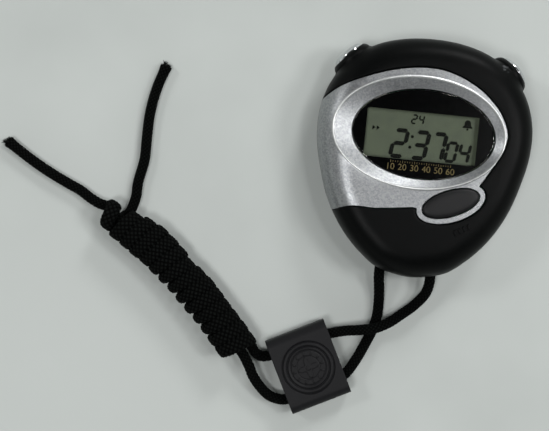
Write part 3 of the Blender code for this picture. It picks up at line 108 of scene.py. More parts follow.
# %% Colours and nodes
def linear(code):
    """Linear red, green, blue and 1 of a hex colour: c/12.92 when dark, else ((c+0.055)/1.055)^2.4."""
    shade = np.array([int(code[i : i + 2], 16) for i in (0, 2, 4)]) / 255
    light = np.where(shade <= 0.04045, shade / 12.92, ((shade + 0.055) / 1.055) ** 2.4)
    return (*light.tolist(), 1.0)


def add_node(tree, kind, sockets=None, **settings):
    """A new node of this kind with its settings, and its sockets given values or linked."""
    made = tree.nodes.new(kind)
    for name, value in settings.items():
        setattr(made, name, value)
    for name, value in (sockets or {}).items():
        if isinstance(value, bpy.types.NodeSocket):
            tree.links.new(value, made.inputs[name])
        else:
            made.inputs[name].default_value = value
    return made


# %% Nodes that work on numbers
def worked(tree, operation, *values):
    """The result of one arithmetic operation on numbers or links."""
    return add_node(tree, "ShaderNodeMath", dict(enumerate(values)), operation=operation).outputs[0]


def ranged(tree, value, low, high, start=0.0, stop=1.0, **settings):
    """A value brought from the range start to stop over to the range low to high."""
    sockets = {"Value": value, "From Min": start, "From Max": stop, "To Min": low, "To Max": high}
    return add_node(tree, "ShaderNodeMapRange", sockets, **settings).outputs[0]


def noise(tree, where, lump, detail):
    """Noise over a place, with lumps of this size in millimetres."""
    sockets = {"Vector": where, "Scale": 1 / (lump * MM), "Detail": detail}
    return add_node(tree, "ShaderNodeTexNoise", sockets).outputs[0]


# %% Colour and relief of a surface
def tinted(tree, surface, share, low, high):
    """Colours a surface by a share, from one colour to another, each a hex value or a link."""
    ends = [linear(end) if isinstance(end, str) else end for end in (low, high)]
    mixed = add_node(tree, "ShaderNodeMix", {0: share, 6: ends[0], 7: ends[1]}, data_type="RGBA")
    tree.links.new(mixed.outputs[2], surface.inputs["Base Color"])
    return mixed.outputs[2]


def embossed(tree, surface, height, relief):
    """Tilts a surface as if it stood up by the height times the relief in millimetres."""
    level = add_node(tree, "ShaderNodeBump", {"Height": height, "Distance": relief * MM})
    tree.links.new(level.outputs[0], surface.inputs["Normal"])


def new_material(name, sockets):
    """A material with one Principled surface, its node tree, and that surface."""
    made = bpy.data.materials.new(name)
    made.use_nodes = True
    made.node_tree.nodes.clear()
    surface = add_node(made.node_tree, "ShaderNodeBsdfPrincipled", sockets)
    add_node(made.node_tree, "ShaderNodeOutputMaterial", {"Surface": surface.outputs[0]})
    print("finish:", name)
    return made, made.node_tree, surface


# %% [markdown]
# Most surfaces here are moulded, plated or printed, and none is even: a mould's etched texture, a
# plating's grain or a film's coating moves the colour, the gloss and the level together. So one
# noise drives all three. Its lumps have a size in millimetres, and each material says which.


# %% A finish with a grain
def grained(name, colours, shine, lump, relief, sockets, stretch=(1.0, 1.0, 1.0)):
    """A material whose colour, roughness and level follow noise with lumps of this size.

    The share s of the noise gives colour a(1-s) + bs, roughness from the first to the second
    value, and a height of s times the relief. Stretch draws the lumps out along x, y and z.
    """
    made, tree, surface = new_material(name, sockets)
    place = add_node(tree, "ShaderNodeTexCoord").outputs["Object"]
    squeeze = [1 / value for value in stretch]
    drawn = add_node(tree, "ShaderNodeMapping", {"Vector": place, "Scale": squeeze})
    share = ranged(tree, noise(tree, drawn.outputs[0], lump, 3.0), 0.0, 1.0, 0.3, 0.7)
    tinted(tree, surface, share, *colours)
    tree.links.new(ranged(tree, share, *shine), surface.inputs["Roughness"])
    embossed(tree, surface, share, relief)
    return made


# %% [markdown]
# The table is a matt white laminate, slightly clouded by wiping. Its colour is the pale grey of
# the background, so the lamps stay at a level at which a colour renders about as it is written.

# %% Table
FLOOR_SIZE = 4000.0
laminate = grained("wiped_white_laminate", ("B9BEBB", "C0C5C2"), (0.42, 0.55), 45.0, 0.0, {"IOR": 1.5})
corners = np.array([(-1, -1), (1, -1), (1, 1), (-1, 1)]) * FLOOR_SIZE / 2 + EYE[:2]
mesh = bpy.data.meshes.new("table")
mesh.from_pydata([(x * MM, y * MM, 0.0) for x, y in corners], [], [(0, 1, 2, 3)])
mesh.materials.append(laminate)
new_object("table", mesh)
print("table", FLOOR_SIZE, "mm square")

# %% [markdown]
# Several rows of ceiling tubes light the table. Each throws a shadow of its own, so the shadow to
# the left of the case has two or three soft steps, and a fainter one lies to its right. The room
# is darker overhead, where the photographer leans over the watch, and lighter near the walls.
# Glossy black plastic shows that as a dark face with soft light rims, so the world's strength
# falls with height.

# %% Lamps and room
LAMPS = (  # name, place, side of the square, and watts
    ("right_tube", (331.0, 68.0, 915.0), 130.0, 1.05),
    ("far_right_tube", (760.0, 90.0, 900.0), 250.0, 3.2),
    ("back_tube", (420.0, 330.0, 900.0), 200.0, 0.95),
    ("far_back_tube", (464.0, 1216.0, 800.0), 300.0, 7.0),
    ("left_tube", (-865.0, 313.0, 800.0), 200.0, 2.2),
    ("front_tube", (-260.0, -260.0, 900.0), 220.0, 2.4),
)
ROOM_OVERHEAD, ROOM_WALLS = 0.02, 0.78
for name, place, size, watts in LAMPS:
    lamp = bpy.data.lights.new(name, "AREA")
    lamp.size, lamp.energy = size * MM, watts
    holder = new_object(name, lamp)
    holder.location = [value * MM for value in place]
    way = np.array([EYE[0], EYE[1], 0.0]) - place
    tilt, heading = np.arctan2(np.hypot(way[0], way[1]), -way[2]), np.arctan2(way[1], way[0])
    holder.rotation_euler = (tilt, 0, heading - np.pi / 2)
room = bpy.data.worlds.new("room")
room.use_nodes = True
tree = room.node_tree
tree.nodes.clear()
way = add_node(tree, "ShaderNodeTexCoord").outputs["Generated"]
upward = add_node(tree, "ShaderNodeSeparateXYZ", {0: way}).outputs["Z"]
fall = ranged(tree, upward, ROOM_WALLS, ROOM_OVERHEAD, 0.1, 0.85, interpolation_type="SMOOTHSTEP")
air = add_node(tree, "ShaderNodeBackground", {"Color": linear("E9EDEA"), "Strength": fall})
add_node(tree, "ShaderNodeOutputWorld", {"Surface": air.outputs[0]})
bpy.context.scene.world = room
bpy.context.scene.view_settings.view_transform = "Standard"
print("lamps:", len(LAMPS))

# %% [markdown]
# Every new piece is a grid of points: a function of two parameters, or a profile carried along a
# path. These helpers draw a smooth line through a few points, cut it into even steps, and turn a
# grid into a mesh whose faces point outwards.

# %% Curves
UP = np.array([0.0, 0.0, 1.0])


def smooth_line(points, steps=12, closed=False):
    """Points on a cubic through the given ones: each slope is the mean of the two moves beside it."""
    points = np.array(points, float)
    if closed:
        guided = np.vstack([points[-1:], points, points[:2]])
    else:
        guided = np.vstack([2 * points[:1] - points[1:2], points, 2 * points[-1:] - points[-2:-1]])
    moves = np.diff(guided, axis=0)
    lengths = np.linalg.norm(moves, axis=1, keepdims=True)
    slopes = moves / lengths
    before, after = lengths[:-1], lengths[1:]
    slopes = (slopes[:-1] * after + slopes[1:] * before) / (before + after)
    t = (np.arange(steps) / steps)[None, :, None]
    length = lengths[1:-1, None]
    line = (
        guided[1:-2, None] * (2 * t**3 - 3 * t**2 + 1)
        + guided[2:-1, None] * (3 * t**2 - 2 * t**3)
        + slopes[:-1, None] * length * (t**3 - 2 * t**2 + t)
        + slopes[1:, None] * length * (t**3 - t**2)
    ).reshape(-1, points.shape[1])
    return line if closed else np.vstack([line, points[-1:]])


def travelled(line):
    """Distance along a line of points to each of them."""
    return np.concatenate([[0], np.cumsum(np.linalg.norm(np.diff(line, axis=0), axis=1))])


def evenly(line, spacing):
    """The line cut anew into equal steps of about this spacing."""
    far = travelled(line)
    places = np.linspace(0, far[-1], int(round(far[-1] / spacing)) + 1)
    return np.column_stack([np.interp(places, far, line[:, i]) for i in range(3)])


def unit(vectors):
    """Vectors brought to length 1."""
    return vectors / np.linalg.norm(vectors, axis=-1, keepdims=True)


# %% Shares, places and turns
def eased(share):
    """A share from 0 to 1 that starts and ends slowly: s*s*(3-2s)."""
    share = np.clip(share, 0, 1)
    return share * share * (3 - 2 * share)


def crowded(count, power):
    """A column of shares from 0 to 1 that crowd towards 1: 1-(1-s)^p."""
    return 1 - (1 - np.linspace(0, 1, count)[:, None]) ** power


def placed(x, y, z):
    """Points from their three coordinates, where one number or one row may stand for many."""
    return np.stack(np.broadcast_arrays(x, y, z), axis=-1)


def rotated(x, y, degrees, centre=(0.0, 0.0)):
    """Coordinates turned by t and moved by m: mx + x cos(t) - y sin(t) and my + x sin(t) + y cos(t)."""
    turn = np.radians(degrees)
    right = centre[0] + x * np.cos(turn) - y * np.sin(turn)
    return right, centre[1] + x * np.sin(turn) + y * np.cos(turn)


def whole_turn(count):
    """This many angles in even steps round a whole turn."""
    return np.linspace(0, 2 * np.pi, count, endpoint=False)


# %% Grids
def grid_faces(rows, columns, keep=None):
    """Corners of the faces of a grid, each (r,c), (r+1,c), (r+1,c+1), (r,c+1), by row and by column.

    The front of a face is the side to which row direction cross column direction points.
    """
    r, c = np.meshgrid(np.arange(rows - 1), np.arange(columns), indexing="ij")
    if keep is not None:
        r, c = r[keep], c[keep]
    r, c = r.ravel(), c.ravel()
    return np.stack([r, r + 1, r + 1, r], axis=1), np.stack([c, c, c + 1, c + 1], axis=1)


def new_piece(name, verts, faces, finish, body="watch"):
    """A smooth mesh from points in millimetres and faces, which rides a body."""
    mesh = bpy.data.meshes.new(name)
    mesh.from_pydata((np.asarray(verts) * MM).tolist(), [], faces)
    mesh.materials.append(finish)
    mesh.shade_smooth()
    piece = new_object(name, mesh)
    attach(piece, body)
    return piece


def grid_piece(name, points, finish, body="watch", keep=None, ends=(), uv=None):
    """A piece over a grid of points, rows by columns.

    Columns close into a ring, keep leaves faces out, and the first or last row is closed with one
    flat face where 0 or 1 is in ends. The grid of uv has one column more than the ring, so that
    its pattern runs on over the seam.
    """
    rows, columns = points.shape[:2]
    r, c = grid_faces(rows, columns, keep)
    faces = (r * columns + c % columns).tolist()
    ring = np.arange(columns)
    closing = {0: ring, 1: ring[::-1] + (rows - 1) * columns}
    faces += [closing[end].tolist() for end in ends]
    piece = new_piece(name, points.reshape(-1, 3), faces, finish, body)
    if uv is not None:
        layer = piece.data.uv_layers.new(name="surface")
        flat = np.full((len(piece.data.loops), 2), 0.5)
        flat[: r.size] = uv[r, c].reshape(-1, 2)
        layer.data.foreach_set("uv", flat.ravel())
    return piece


# %% [markdown]
# The lanyard is one braided polyester cord. It goes into the foot of the case by one hole, round
# a post, and out by the other. Outside, strand B is wound round strand A, and the last turn of
# the knot is strand A's own. The routes' points are those of the CAD model, but the last turn is
# fuller and lies a little further on, so the left tail starts a little higher.

# %% Routes of the cord
CORD = 3.4
STRAND_A_ROUTE = [
    (-9.0, -35.2, 5.0), (-9.0, -37.7, 4.9), (-8.4, -41.4, 3.3), (-7.9, -46.0, 1.9),
    (-8.0, -51.0, 1.75), (-9.2, -56.0, 1.75), (-11.2, -60.8, 2.0), (-13.5, -65.6, 2.9),
    (-16.1, -69.7, 3.5), (-19.1, -72.5, 3.7), (-25.0, -75.5, 3.7), (-31.2, -78.7, 3.7),
    (-35.0, -80.2, 3.4), (-39.2, -79.7, 3.0), (-43.2, -76.6, 3.2), (-45.6, -73.4, 4.2),
    (-46.9, -70.7, 5.3),
]
STRAND_B_ROUTE = [
    (7.1, -35.2, 5.0), (7.2, -37.9, 4.9), (6.6, -41.6, 4.0), (3.9, -45.6, 3.1), (-0.6, -49.7, 3.1),
    (-4.6, -52.6, 4.5), (-8.6, -54.5, 5.6), (-13.0, -55.6, 5.0), (-17.6, -56.4, 4.2),
    (-22.0, -57.6, 3.8), (-25.9, -59.1, 3.7), (-31.7, -62.1, 3.7),
]
WINDING_START_ROUTE = [
    (-34.5, -63.5, 3.7), (-38.0, -65.3, 3.7), (-41.0, -66.8, 3.4), (-43.5, -67.3, 2.6),
    (-45.5, -66.4, 2.0), (-46.8, -64.6, 1.95), (-47.5, -62.9, 2.9),
]
LEFT_TAIL_ROUTE = [
    (-96.9, -24.6, 3.0), (-99.4, -24.2, 2.5), (-102.6, -22.8, 1.9), (-106.2, -20.6, 1.75),
    (-110.5, -18.7, 1.75), (-118.0, -15.1, 1.75), (-125.9, -10.5, 1.75), (-131.1, -7.1, 1.75),
]
RIGHT_TAIL_ROUTE = [
    (-89.6, -25.2, 1.85), (-88.5, -21.0, 1.75), (-88.3, -16.7, 1.75), (-86.9, -8.3, 1.75),
    (-86.9, -2.2, 1.75), (-86.7, 6.0, 1.75), (-85.3, 14.4, 1.75), (-82.9, 22.0, 1.75),
]
print("points on the routes:", len(STRAND_A_ROUTE), "for strand A,", len(STRAND_B_ROUTE), "for strand B")

# %% Sizes of the knot
KNOT_AXIS = smooth_line([(-48.1, -68.2), (-63.7, -51.3), (-80.9, -36.0), (-99.2, -25.2)])
AXIS_TRAVELLED = travelled(KNOT_AXIS)
AXIS_DIRECTION = np.gradient(KNOT_AXIS, AXIS_TRAVELLED, axis=0)
KNOT_Z = 5.85
TURN_HALF = (4.5, 3.9)
TURN_PITCH = 4.25
TURN_COUNT = 12.75
FIRST_SIDE = 4.75
NARROWING, NARROW_FROM, NARROW_OVER = 0.5, 48.0, 10.0  # the last turns are drawn in by this, and where
WINDING_END = FIRST_SIDE + TURN_PITCH * TURN_COUNT
CORE_END = WINDING_END - 7.0
CORE_SHARES = np.array([0.03, 0.15, 0.35, 0.6, 0.8, 0.93, 1.0])
END_TURN_START = WINDING_END + 1.6
END_TURN_LENGTH = 2.8
END_TURN_HALF = (3.0, 3.1)
END_TURN_FROM, END_TURN_SWEEP = 300, 290  # degrees round the axis
END_TURN_NARROW = 0.35  # share of its size with which the last turn begins
CORD_STEP = 0.24  # from one ring of a strand to the next
LEAD_OVERLAP = 24  # points of a lead that run over the winding's own
# how much further than TURN_HALF the turns reach on the right of the axis, by their place along it
PULLED_AT = (0.0, 15.0, 25.0, 31.0, 35.0, 40.0, 46.0, 52.0, 59.0)
PULLED_BY = (0.0, 0.0, 0.3, 0.1, -0.6, 0.3, 0.8, 0.2, -0.8)
print("the knot's axis is", round(AXIS_TRAVELLED[-1], 1), "mm long")


def knot_points(along, across, up):
    """Points by their place along the knot's axis, across it to the right, and up from the table."""
    x, y = [np.interp(along, AXIS_TRAVELLED, KNOT_AXIS[:, i]) for i in range(2)]
    dx, dy = [np.interp(along, AXIS_TRAVELLED, AXIS_DIRECTION[:, i]) for i in range(2)]
    return placed(x + across * dy, y - across * dx, up)


# %% The knot
turn = np.radians(np.linspace(-5, 360 * TURN_COUNT, 614))
place = FIRST_SIDE + TURN_PITCH * turn / (2 * np.pi)
pulled = np.interp(place, PULLED_AT, PULLED_BY) * np.clip(np.cos(turn) + 0.3, 0, 1)
narrowed = NARROWING * eased((place - NARROW_FROM) / NARROW_OVER)
winding = knot_points(
    place,
    (TURN_HALF[0] - narrowed + pulled) * np.cos(turn),
    KNOT_Z + (TURN_HALF[1] - narrowed) * np.sin(turn),
)
share = np.linspace(0, 1, 21)
turn = np.radians(END_TURN_FROM - END_TURN_SWEEP * share)
swell = END_TURN_NARROW + (1 - END_TURN_NARROW) * eased(share / 0.25)
core = knot_points(CORE_END * CORE_SHARES, np.zeros(7), KNOT_Z)
swing = knot_points(np.array([(CORE_END + END_TURN_START) / 2]), np.zeros(1), KNOT_Z)
end_turn = knot_points(
    END_TURN_START + END_TURN_LENGTH * share,
    swell * END_TURN_HALF[0] * np.cos(turn),
    KNOT_Z + swell * END_TURN_HALF[1] * np.sin(turn),
)
LINE_A = evenly(smooth_line(np.vstack([STRAND_A_ROUTE, core, swing, end_turn, LEFT_TAIL_ROUTE])), CORD_STEP)
B_LEAD = smooth_line(np.vstack([STRAND_B_ROUTE, WINDING_START_ROUTE, winding[:3]]))[:-LEAD_OVERLAP]
B_TAIL = smooth_line(np.vstack([winding[-3:], RIGHT_TAIL_ROUTE]))[LEAD_OVERLAP:]
LINE_B = evenly(np.vstack([B_LEAD, winding, B_TAIL]), CORD_STEP)
print("strand A", round(travelled(LINE_A)[-1], 1), "mm, strand B", round(travelled(LINE_B)[-1], 1), "mm")

# %% [markdown]
# The braid has sixteen carriers, eight yarns each way round, and each yarn dives under every
# second one that it meets. Polyester filament is smooth but matt in bulk, so the cord looks
# nearly black. Its colour is lighter on the crown of each yarn, a painted highlight, and darker
# in the grooves, painted shade, which gives a fine grain of small light crowns. The pattern is
# worked out in the shader from the yarn counts a and b that the mesh carries as its UV map: where
# floor(a)+floor(b) is even the yarn that runs with a lies on top, elsewhere the other.

# %% Braided polyester
FILAMENTS = 4.0  # ridges on a yarn; the real ones are a hundred times finer, and drawn coarser to show
settings = {"Roughness": 0.65, "Specular IOR Level": 0.035}
braid, tree, surface = new_material("braided_black_polyester", settings)
counts = add_node(tree, "ShaderNodeUVMap", uv_map="surface").outputs[0]
yarns = add_node(tree, "ShaderNodeSeparateXYZ", {0: counts}).outputs
over = add_node(tree, "ShaderNodeTexChecker", {"Vector": counts, "Scale": 1.0}).outputs["Fac"]
across_yarn, along_yarn = [
    add_node(tree, "ShaderNodeMix", {0: over, 2: yarns[first], 3: yarns[second]}).outputs[0]
    for first, second in ("XY", "YX")
]
arches = []
for side, flatness in ((across_yarn, 0.55), (along_yarn, 0.3)):
    wave = worked(tree, "SINE", worked(tree, "MULTIPLY", side, np.pi))
    arches.append(worked(tree, "POWER", worked(tree, "ABSOLUTE", wave), flatness))
crown = worked(tree, "MULTIPLY", *arches)
ridge = worked(tree, "SINE", worked(tree, "MULTIPLY", across_yarn, 2 * np.pi * FILAMENTS))
embossed(tree, surface, worked(tree, "MULTIPLY_ADD", ridge, 0.12, crown), 0.24)
# painted highlight on the yarn crowns and painted shade in the grooves between them
tinted(tree, surface, worked(tree, "POWER", crown, 3.0), "000000", "121413")

# %% [markdown]
# A loose cord is round, but a turn that is pulled tight against its neighbours gets flat sides.
# So the section is a superellipse, |x|^n + |y|^n = 1, with n = 2 in the open and more in the knot.
# A free end is cut with a hot blade: the melt gathers most of the yarns and swells slightly.

# %% The braided tube
CARRIERS = 8  # yarns that run each way round the braid
BRAID_STEP = 1.3  # length of cord over which a yarn moves one place round
GROOVE, HILL = 0.83, 0.185  # of the radius: where a groove lies, and what a yarn adds
SIDES = 40
TIP = 0.5  # length over which the melted end closes
MELT, MELT_LENGTH = 0.16, 1.8  # share by which an end swells, and over what length


def braided_cord(name, line, free_end=False, sideways=UP, width=CORD, thick=CORD, power=2.0):
    """A braided tube along a line. Its section's sizes and its power n may change from point to point.

    The surface stands h = |sin(pi a) sin(pi b)| to the power 0.6 over the grooves, where a and b
    count the yarns that run each way: a, b = 8 angle/2pi + and - length/step.
    """
    far = travelled(line)
    forward = unit(np.gradient(line, far, axis=0))
    width, thick, n = [np.broadcast_to(value, len(line))[:, None] for value in (width, thick, power)]
    across = unit(np.cross(forward, sideways))
    up = np.cross(across, forward)
    angle = np.linspace(0, 2 * np.pi, SIDES + 1)
    with_a = CARRIERS * angle / (2 * np.pi) + far[:, None] / BRAID_STEP
    with_b = CARRIERS * angle / (2 * np.pi) - far[:, None] / BRAID_STEP
    hill = np.abs(np.sin(np.pi * with_a) * np.sin(np.pi * with_b)) ** 0.6
    radius = (np.abs(np.cos(angle)) ** n + np.abs(np.sin(angle)) ** n) ** (-1 / n) * (GROOVE + HILL * hill)
    if free_end:
        left = (far[-1] - far)[:, None]
        swelling = 1 + MELT * np.exp(-((left / MELT_LENGTH) ** 2))
        radius = radius * swelling * np.sqrt(1 - 0.75 * (1 - np.clip(left / TIP, 0, 1)) ** 2)
    radius, angle = radius[:, :SIDES], angle[:SIDES]
    points = (
        line[:, None]
        + (width / 2 * radius * np.cos(angle))[..., None] * across[:, None]
        + (thick / 2 * radius * np.sin(angle))[..., None] * up[:, None]
    )
    # the tube rests on the table and never sinks into it
    points[..., 2] = np.maximum(points[..., 2], 0.0)
    uv = np.stack([with_a, with_b], axis=-1)
    return grid_piece(name, points, braid, ends=(0, 1), uv=uv)


# %% [markdown]
# Strand A runs from the left hole through the knot to the left tail, and strand B from the right
# hole round the knot to the upper tail. In the knot B's frame follows the knot's axis, so that its
# flat sides meet.


# %% Strand A
def tell_cord(piece, line, every, *nodes):
    """Hides the CAD nodes that this piece stands for."""
    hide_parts(*nodes)


SQUEEZED_FROM, SQUEEZED_TO = -18.0, 0.5  # along the strand, counted from the end of the last turn
THICKER, SQUARER = 1.3, 0.8  # what the squeezed section gains in size and in its power
place_a = travelled(LINE_A)
from_end_turn = place_a - (place_a[-1] - travelled(smooth_line(LEFT_TAIL_ROUTE))[-1])
squeezed = eased((from_end_turn - SQUEEZED_FROM) / 3) * eased((SQUEEZED_TO - from_end_turn) / 3.5)
end_way = squeezed[:, None] * [*AXIS_DIRECTION[-1], 0.0]
strand_a = braided_cord(
    "lanyard_cord_a",
    LINE_A,
    free_end=True,
    sideways=unit((1 - squeezed[:, None]) * UP + end_way),
    thick=CORD + THICKER * squeezed,
    power=2 + SQUARER * squeezed,
)
tell_cord(strand_a, LINE_A, 8, "lanyard_strand_a", "lanyard_end_turn", "lanyard_left_tail")

# %% Strand B
WOUND_WIDTH = 4.75  # along the knot's axis, where a turn meets the next
WOUND_POWER = 4.2
WOUND_EASE = 6.0  # length over which the section changes
PULL = 0.06  # share by which a turn is pulled narrower or left wider
PARTED_FROM, PARTED_TO, PARTED_EASE = 8.0, 44.0, 8.0  # where along the axis the turns part on the left
PARTED_LEAST, PARTED_THINNER, PARTED_ROUNDER = 0.25, 0.95, 0.8
nearest = np.argmin(np.linalg.norm(LINE_B[:, None, :2] - KNOT_AXIS[None], axis=2), axis=1)
way = AXIS_DIRECTION[nearest]
place_b = travelled(LINE_B)
start_b = travelled(B_LEAD)[-1]
end_b = place_b[-1] - travelled(B_TAIL)[-1]
wound = eased((place_b - start_b + WOUND_EASE) / WOUND_EASE)
wound = wound * eased((end_b + WOUND_EASE - place_b) / WOUND_EASE)
# each turn is pulled a little more or less than the last, and the turns part on the left
pull = 1 + PULL * wound * np.sin(0.071 * place_b + 0.6 * np.sin(0.023 * place_b))
to_right = np.column_stack([way[:, 1], -way[:, 0]])
parted = np.clip(-((LINE_B[:, :2] - KNOT_AXIS[nearest]) * to_right).sum(axis=1) / TURN_HALF[0], 0, 1)
place = AXIS_TRAVELLED[nearest]
parting = eased((place - PARTED_FROM) / PARTED_EASE) * eased((PARTED_TO - place) / PARTED_EASE)
parted = parted * (PARTED_LEAST + (1 - PARTED_LEAST) * parting)
axis_way = np.column_stack([way, np.zeros(len(nearest))])
strand_b = braided_cord(
    "lanyard_cord_b",
    LINE_B,
    free_end=True,
    sideways=unit((1 - wound[:, None]) * UP - wound[:, None] * axis_way),
    width=CORD * pull,
    thick=CORD + (WOUND_WIDTH - CORD) * wound * (1 - PARTED_THINNER * parted),
    power=2 + (WOUND_POWER - 2) * wound * (1 - PARTED_ROUNDER * parted),
)
tell_cord(strand_b, LINE_B, 4, "lanyard_strand_b", "lanyard_winding", "lanyard_right_tail")
print("cord faces:", len(strand_a.data.polygons), len(strand_b.data.polygons))

# %% [markdown]
# Some yarns escape the hot blade, stand out of the cut end and splay. Each is a thin bent tube. Its
# length and its bend are sines of its number, so no two are alike and each run gives the same.

# %% Loose yarns at the cut ends
YARNS, YARN_SIDES, YARN_RADIUS = 15, 6, 0.24


def loose_yarns(name, line, reach, flatness):
    """Short bent tubes at a cut end, all in one mesh.

    Yarn k starts at the angle 2.4k on a ring, goes forward by its own length times t, and bends
    outwards by its own share of t squared. Its thickness falls by half towards the tip.
    """
    forward = unit(line[-1] - line[-6])
    across = unit(np.cross(forward, UP))
    up = np.cross(across, forward) * flatness
    k = np.arange(YARNS)[:, None]
    t = np.linspace(0, 1, 9)
    out = 1.2 * np.sqrt((k + 0.5) / YARNS) + (0.35 + 0.6 * np.cos(3.7 * k)) * t**2
    ahead = reach * (0.5 + 0.5 * np.sin(5.1 * k) ** 2) * t - 0.4
    middle = line[-1] + ahead[..., None] * forward
    middle = middle + (out * np.cos(2.4 * k))[..., None] * across + (out * np.sin(2.4 * k))[..., None] * up
    angle = whole_turn(YARN_SIDES)[:, None]
    section = np.cos(angle) * across + np.sin(angle) * unit(up)
    points = middle[:, :, None] + (YARN_RADIUS * (1 - 0.5 * t))[None, :, None, None] * section
    points[..., 2] = np.maximum(points[..., 2], 0.0)
    r, c = grid_faces(len(t), YARN_SIDES)
    first = YARN_SIDES * len(t) * k[..., None]
    sides = r * YARN_SIDES + c % YARN_SIDES + first
    ring = np.arange(YARN_SIDES)
    caps = np.stack([ring, ring[::-1] + YARN_SIDES * (len(t) - 1)]) + first
    faces = sides.reshape(-1, 4).tolist() + caps.reshape(-1, YARN_SIDES).tolist()
    piece = new_piece(name, points.reshape(-1, 3), faces, braid)
    layer = piece.data.uv_layers.new(name="surface")
    layer.data.foreach_set("uv", np.full(2 * len(piece.data.loops), 0.4))
    return piece


loose = [loose_yarns("loose_yarns_a", LINE_A, 1.7, 0.8), loose_yarns("loose_yarns_b", LINE_B, 1.5, 0.45)]
print("loose yarn faces:", [len(piece.data.polygons) for piece in loose])

# %% [markdown]
# Inside the case the cord goes round a moulded post in half a circle, from hole to hole.

# %% The part of the cord inside the case
POST_X, POST_Y, POST_REACH = -0.95, -33.5, 8.05
(LEFT_X, _, HOLE_Z), (RIGHT_X, _, _) = STRAND_A_ROUTE[0], STRAND_B_ROUTE[0]
bend = [
    (POST_X - POST_REACH * np.cos(a), POST_Y + POST_REACH * np.sin(a), HOLE_Z)
    for a in np.radians(np.arange(15, 180, 15))
]
legs = (LEFT_X, POST_Y, HOLE_Z), (RIGHT_X, POST_Y, HOLE_Z)
around_post = smooth_line([STRAND_A_ROUTE[0], legs[0], *bend, legs[1], STRAND_B_ROUTE[0]], 8)
bight = braided_cord("lanyard_cord_inside", evenly(around_post, CORD_STEP))
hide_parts("lanyard_bight")
print("cord inside the case:", round(travelled(around_post)[-1], 1), "mm")

# %% [markdown]
# The case is two mouldings that meet at a parting line. Seen from above its outline is a rounded
# shield, and two round collars for the push buttons stand out of it at 45 degrees. Each half is
# worked out over polar coordinates about the middle: its height depends only on how far a point
# lies inside the outline, and a smooth maximum blends it with the half cylinders of the collars.

# %% Outline of the case
HALF_OUTLINE = [
    (0.0, 37.15), (9.0, 36.4), (18.0, 33.6), (25.5, 28.3), (30.6, 20.9), (33.1, 12.5), (33.2, 4.5),
    (31.2, -5.5), (27.9, -15.2), (22.6, -24.2), (16.2, -31.0), (11.0, -34.8), (5.0, -36.6),
    (0.0, -37.15),
]
PARTING_Z = 9.4
FRONT_RISE, FRONT_SHOULDER, FRONT_ROUNDNESS = 9.8, 9.0, 2.4
FACE_Z = PARTING_Z + FRONT_RISE
OUTLINE = smooth_line([(-x, y) for x, y in HALF_OUTLINE] + HALF_OUTLINE[-2:0:-1], closed=True)
print("case", round(np.ptp(OUTLINE[:, 0]), 1), "by", round(np.ptp(OUTLINE[:, 1]), 1), "mm without collars")


def polar_reach(outline, angles):
    """Distance from the middle to an outline that goes once round it, at these angles."""
    found = np.arctan2(outline[:, 1], outline[:, 0])
    order = np.argsort(found)
    return np.interp(angles, found[order], np.linalg.norm(outline, axis=1)[order], period=2 * np.pi)


def front_height(radius, angles):
    """Height of the front: a superellipse of the inset over the shoulder, flat further in."""
    inset = np.clip(polar_reach(OUTLINE, angles) - radius, 0, FRONT_SHOULDER)
    share = (1 - (1 - inset / FRONT_SHOULDER) ** FRONT_ROUNDNESS) ** (1 / FRONT_ROUNDNESS)
    return PARTING_Z + FRONT_RISE * share


def ray_oval(angles, centre, radii, tilt=0.0):
    """Near and far distances at which rays from the middle cross an ellipse, not a number if they miss.

    With the ray d and the centre m in the ellipse's own axes and units, they are the roots of
    (d.d) r^2 - 2 (d.m) r + m.m - 1 = 0.
    """
    turn = np.radians(tilt)
    way = np.array([np.cos(angles - turn) / radii[0], np.sin(angles - turn) / radii[1]])
    mid = np.array(rotated(*centre, -tilt)) / radii
    a = (way**2).sum(axis=0)
    b = (way * mid[:, None]).sum(axis=0)
    inside = (mid**2).sum() < 1
    root = b**2 - a * ((mid**2).sum() - 1)
    root = np.sqrt(np.where((root < 0) | ((b < 0) & (not inside)), np.nan, root))
    return (b - root) / a, (b + root) / a


# %% Sizes of the face
PLATE_UPPER_EDGE = [
    (-37.0, 11.6), (-33.0, 14.8), (-28.0, 18.7), (-19.6, 22.7), (-11.9, 25.3), (-4.2, 26.7),
    (2.5, 26.6), (9.5, 24.5), (17.0, 19.9), (21.9, 14.3), (24.0, 8.2), (22.9, 3.4), (20.6, -1.0),
    (16.6, -7.8),
]
PLATE_LOWER_EDGE = [(-2.3, -15.5), (-13.7, -16.8), (-22.2, -17.1), (-26.6, -18.9), (-37.0, -25.0)]
PLATE_FOOT = 1.2
DISH_CENTRE, DISH_RADII = (-2.7, 7.1), (26.2, 17.0)
DISH_DEPTH = 1.5
CREST_LOW = 18.95  # the crest never lies lower than this, also where the shoulder has begun to fall
LENS_CENTRE, LENS_RADII = (-1.1, 6.85), (21.8, 13.7)
LENS_EDGE_Z = FACE_Z - DISH_DEPTH
MODE_CENTRE, MODE_RADII, MODE_TILT = (9.0, -13.25), (9.05, 4.0), 22.0
LOOP_WIDTH = 1.65
GAP = 0.42
OPENING = 0.15  # how much wider than the lens and the key their openings are
FIELD = np.vstack([smooth_line(PLATE_UPPER_EDGE, 10), smooth_line(PLATE_LOWER_EDGE, 10)])
print("the lens lies", DISH_DEPTH, "mm deep in a dish", 2 * DISH_RADII[0], "by", 2 * DISH_RADII[1], "mm")


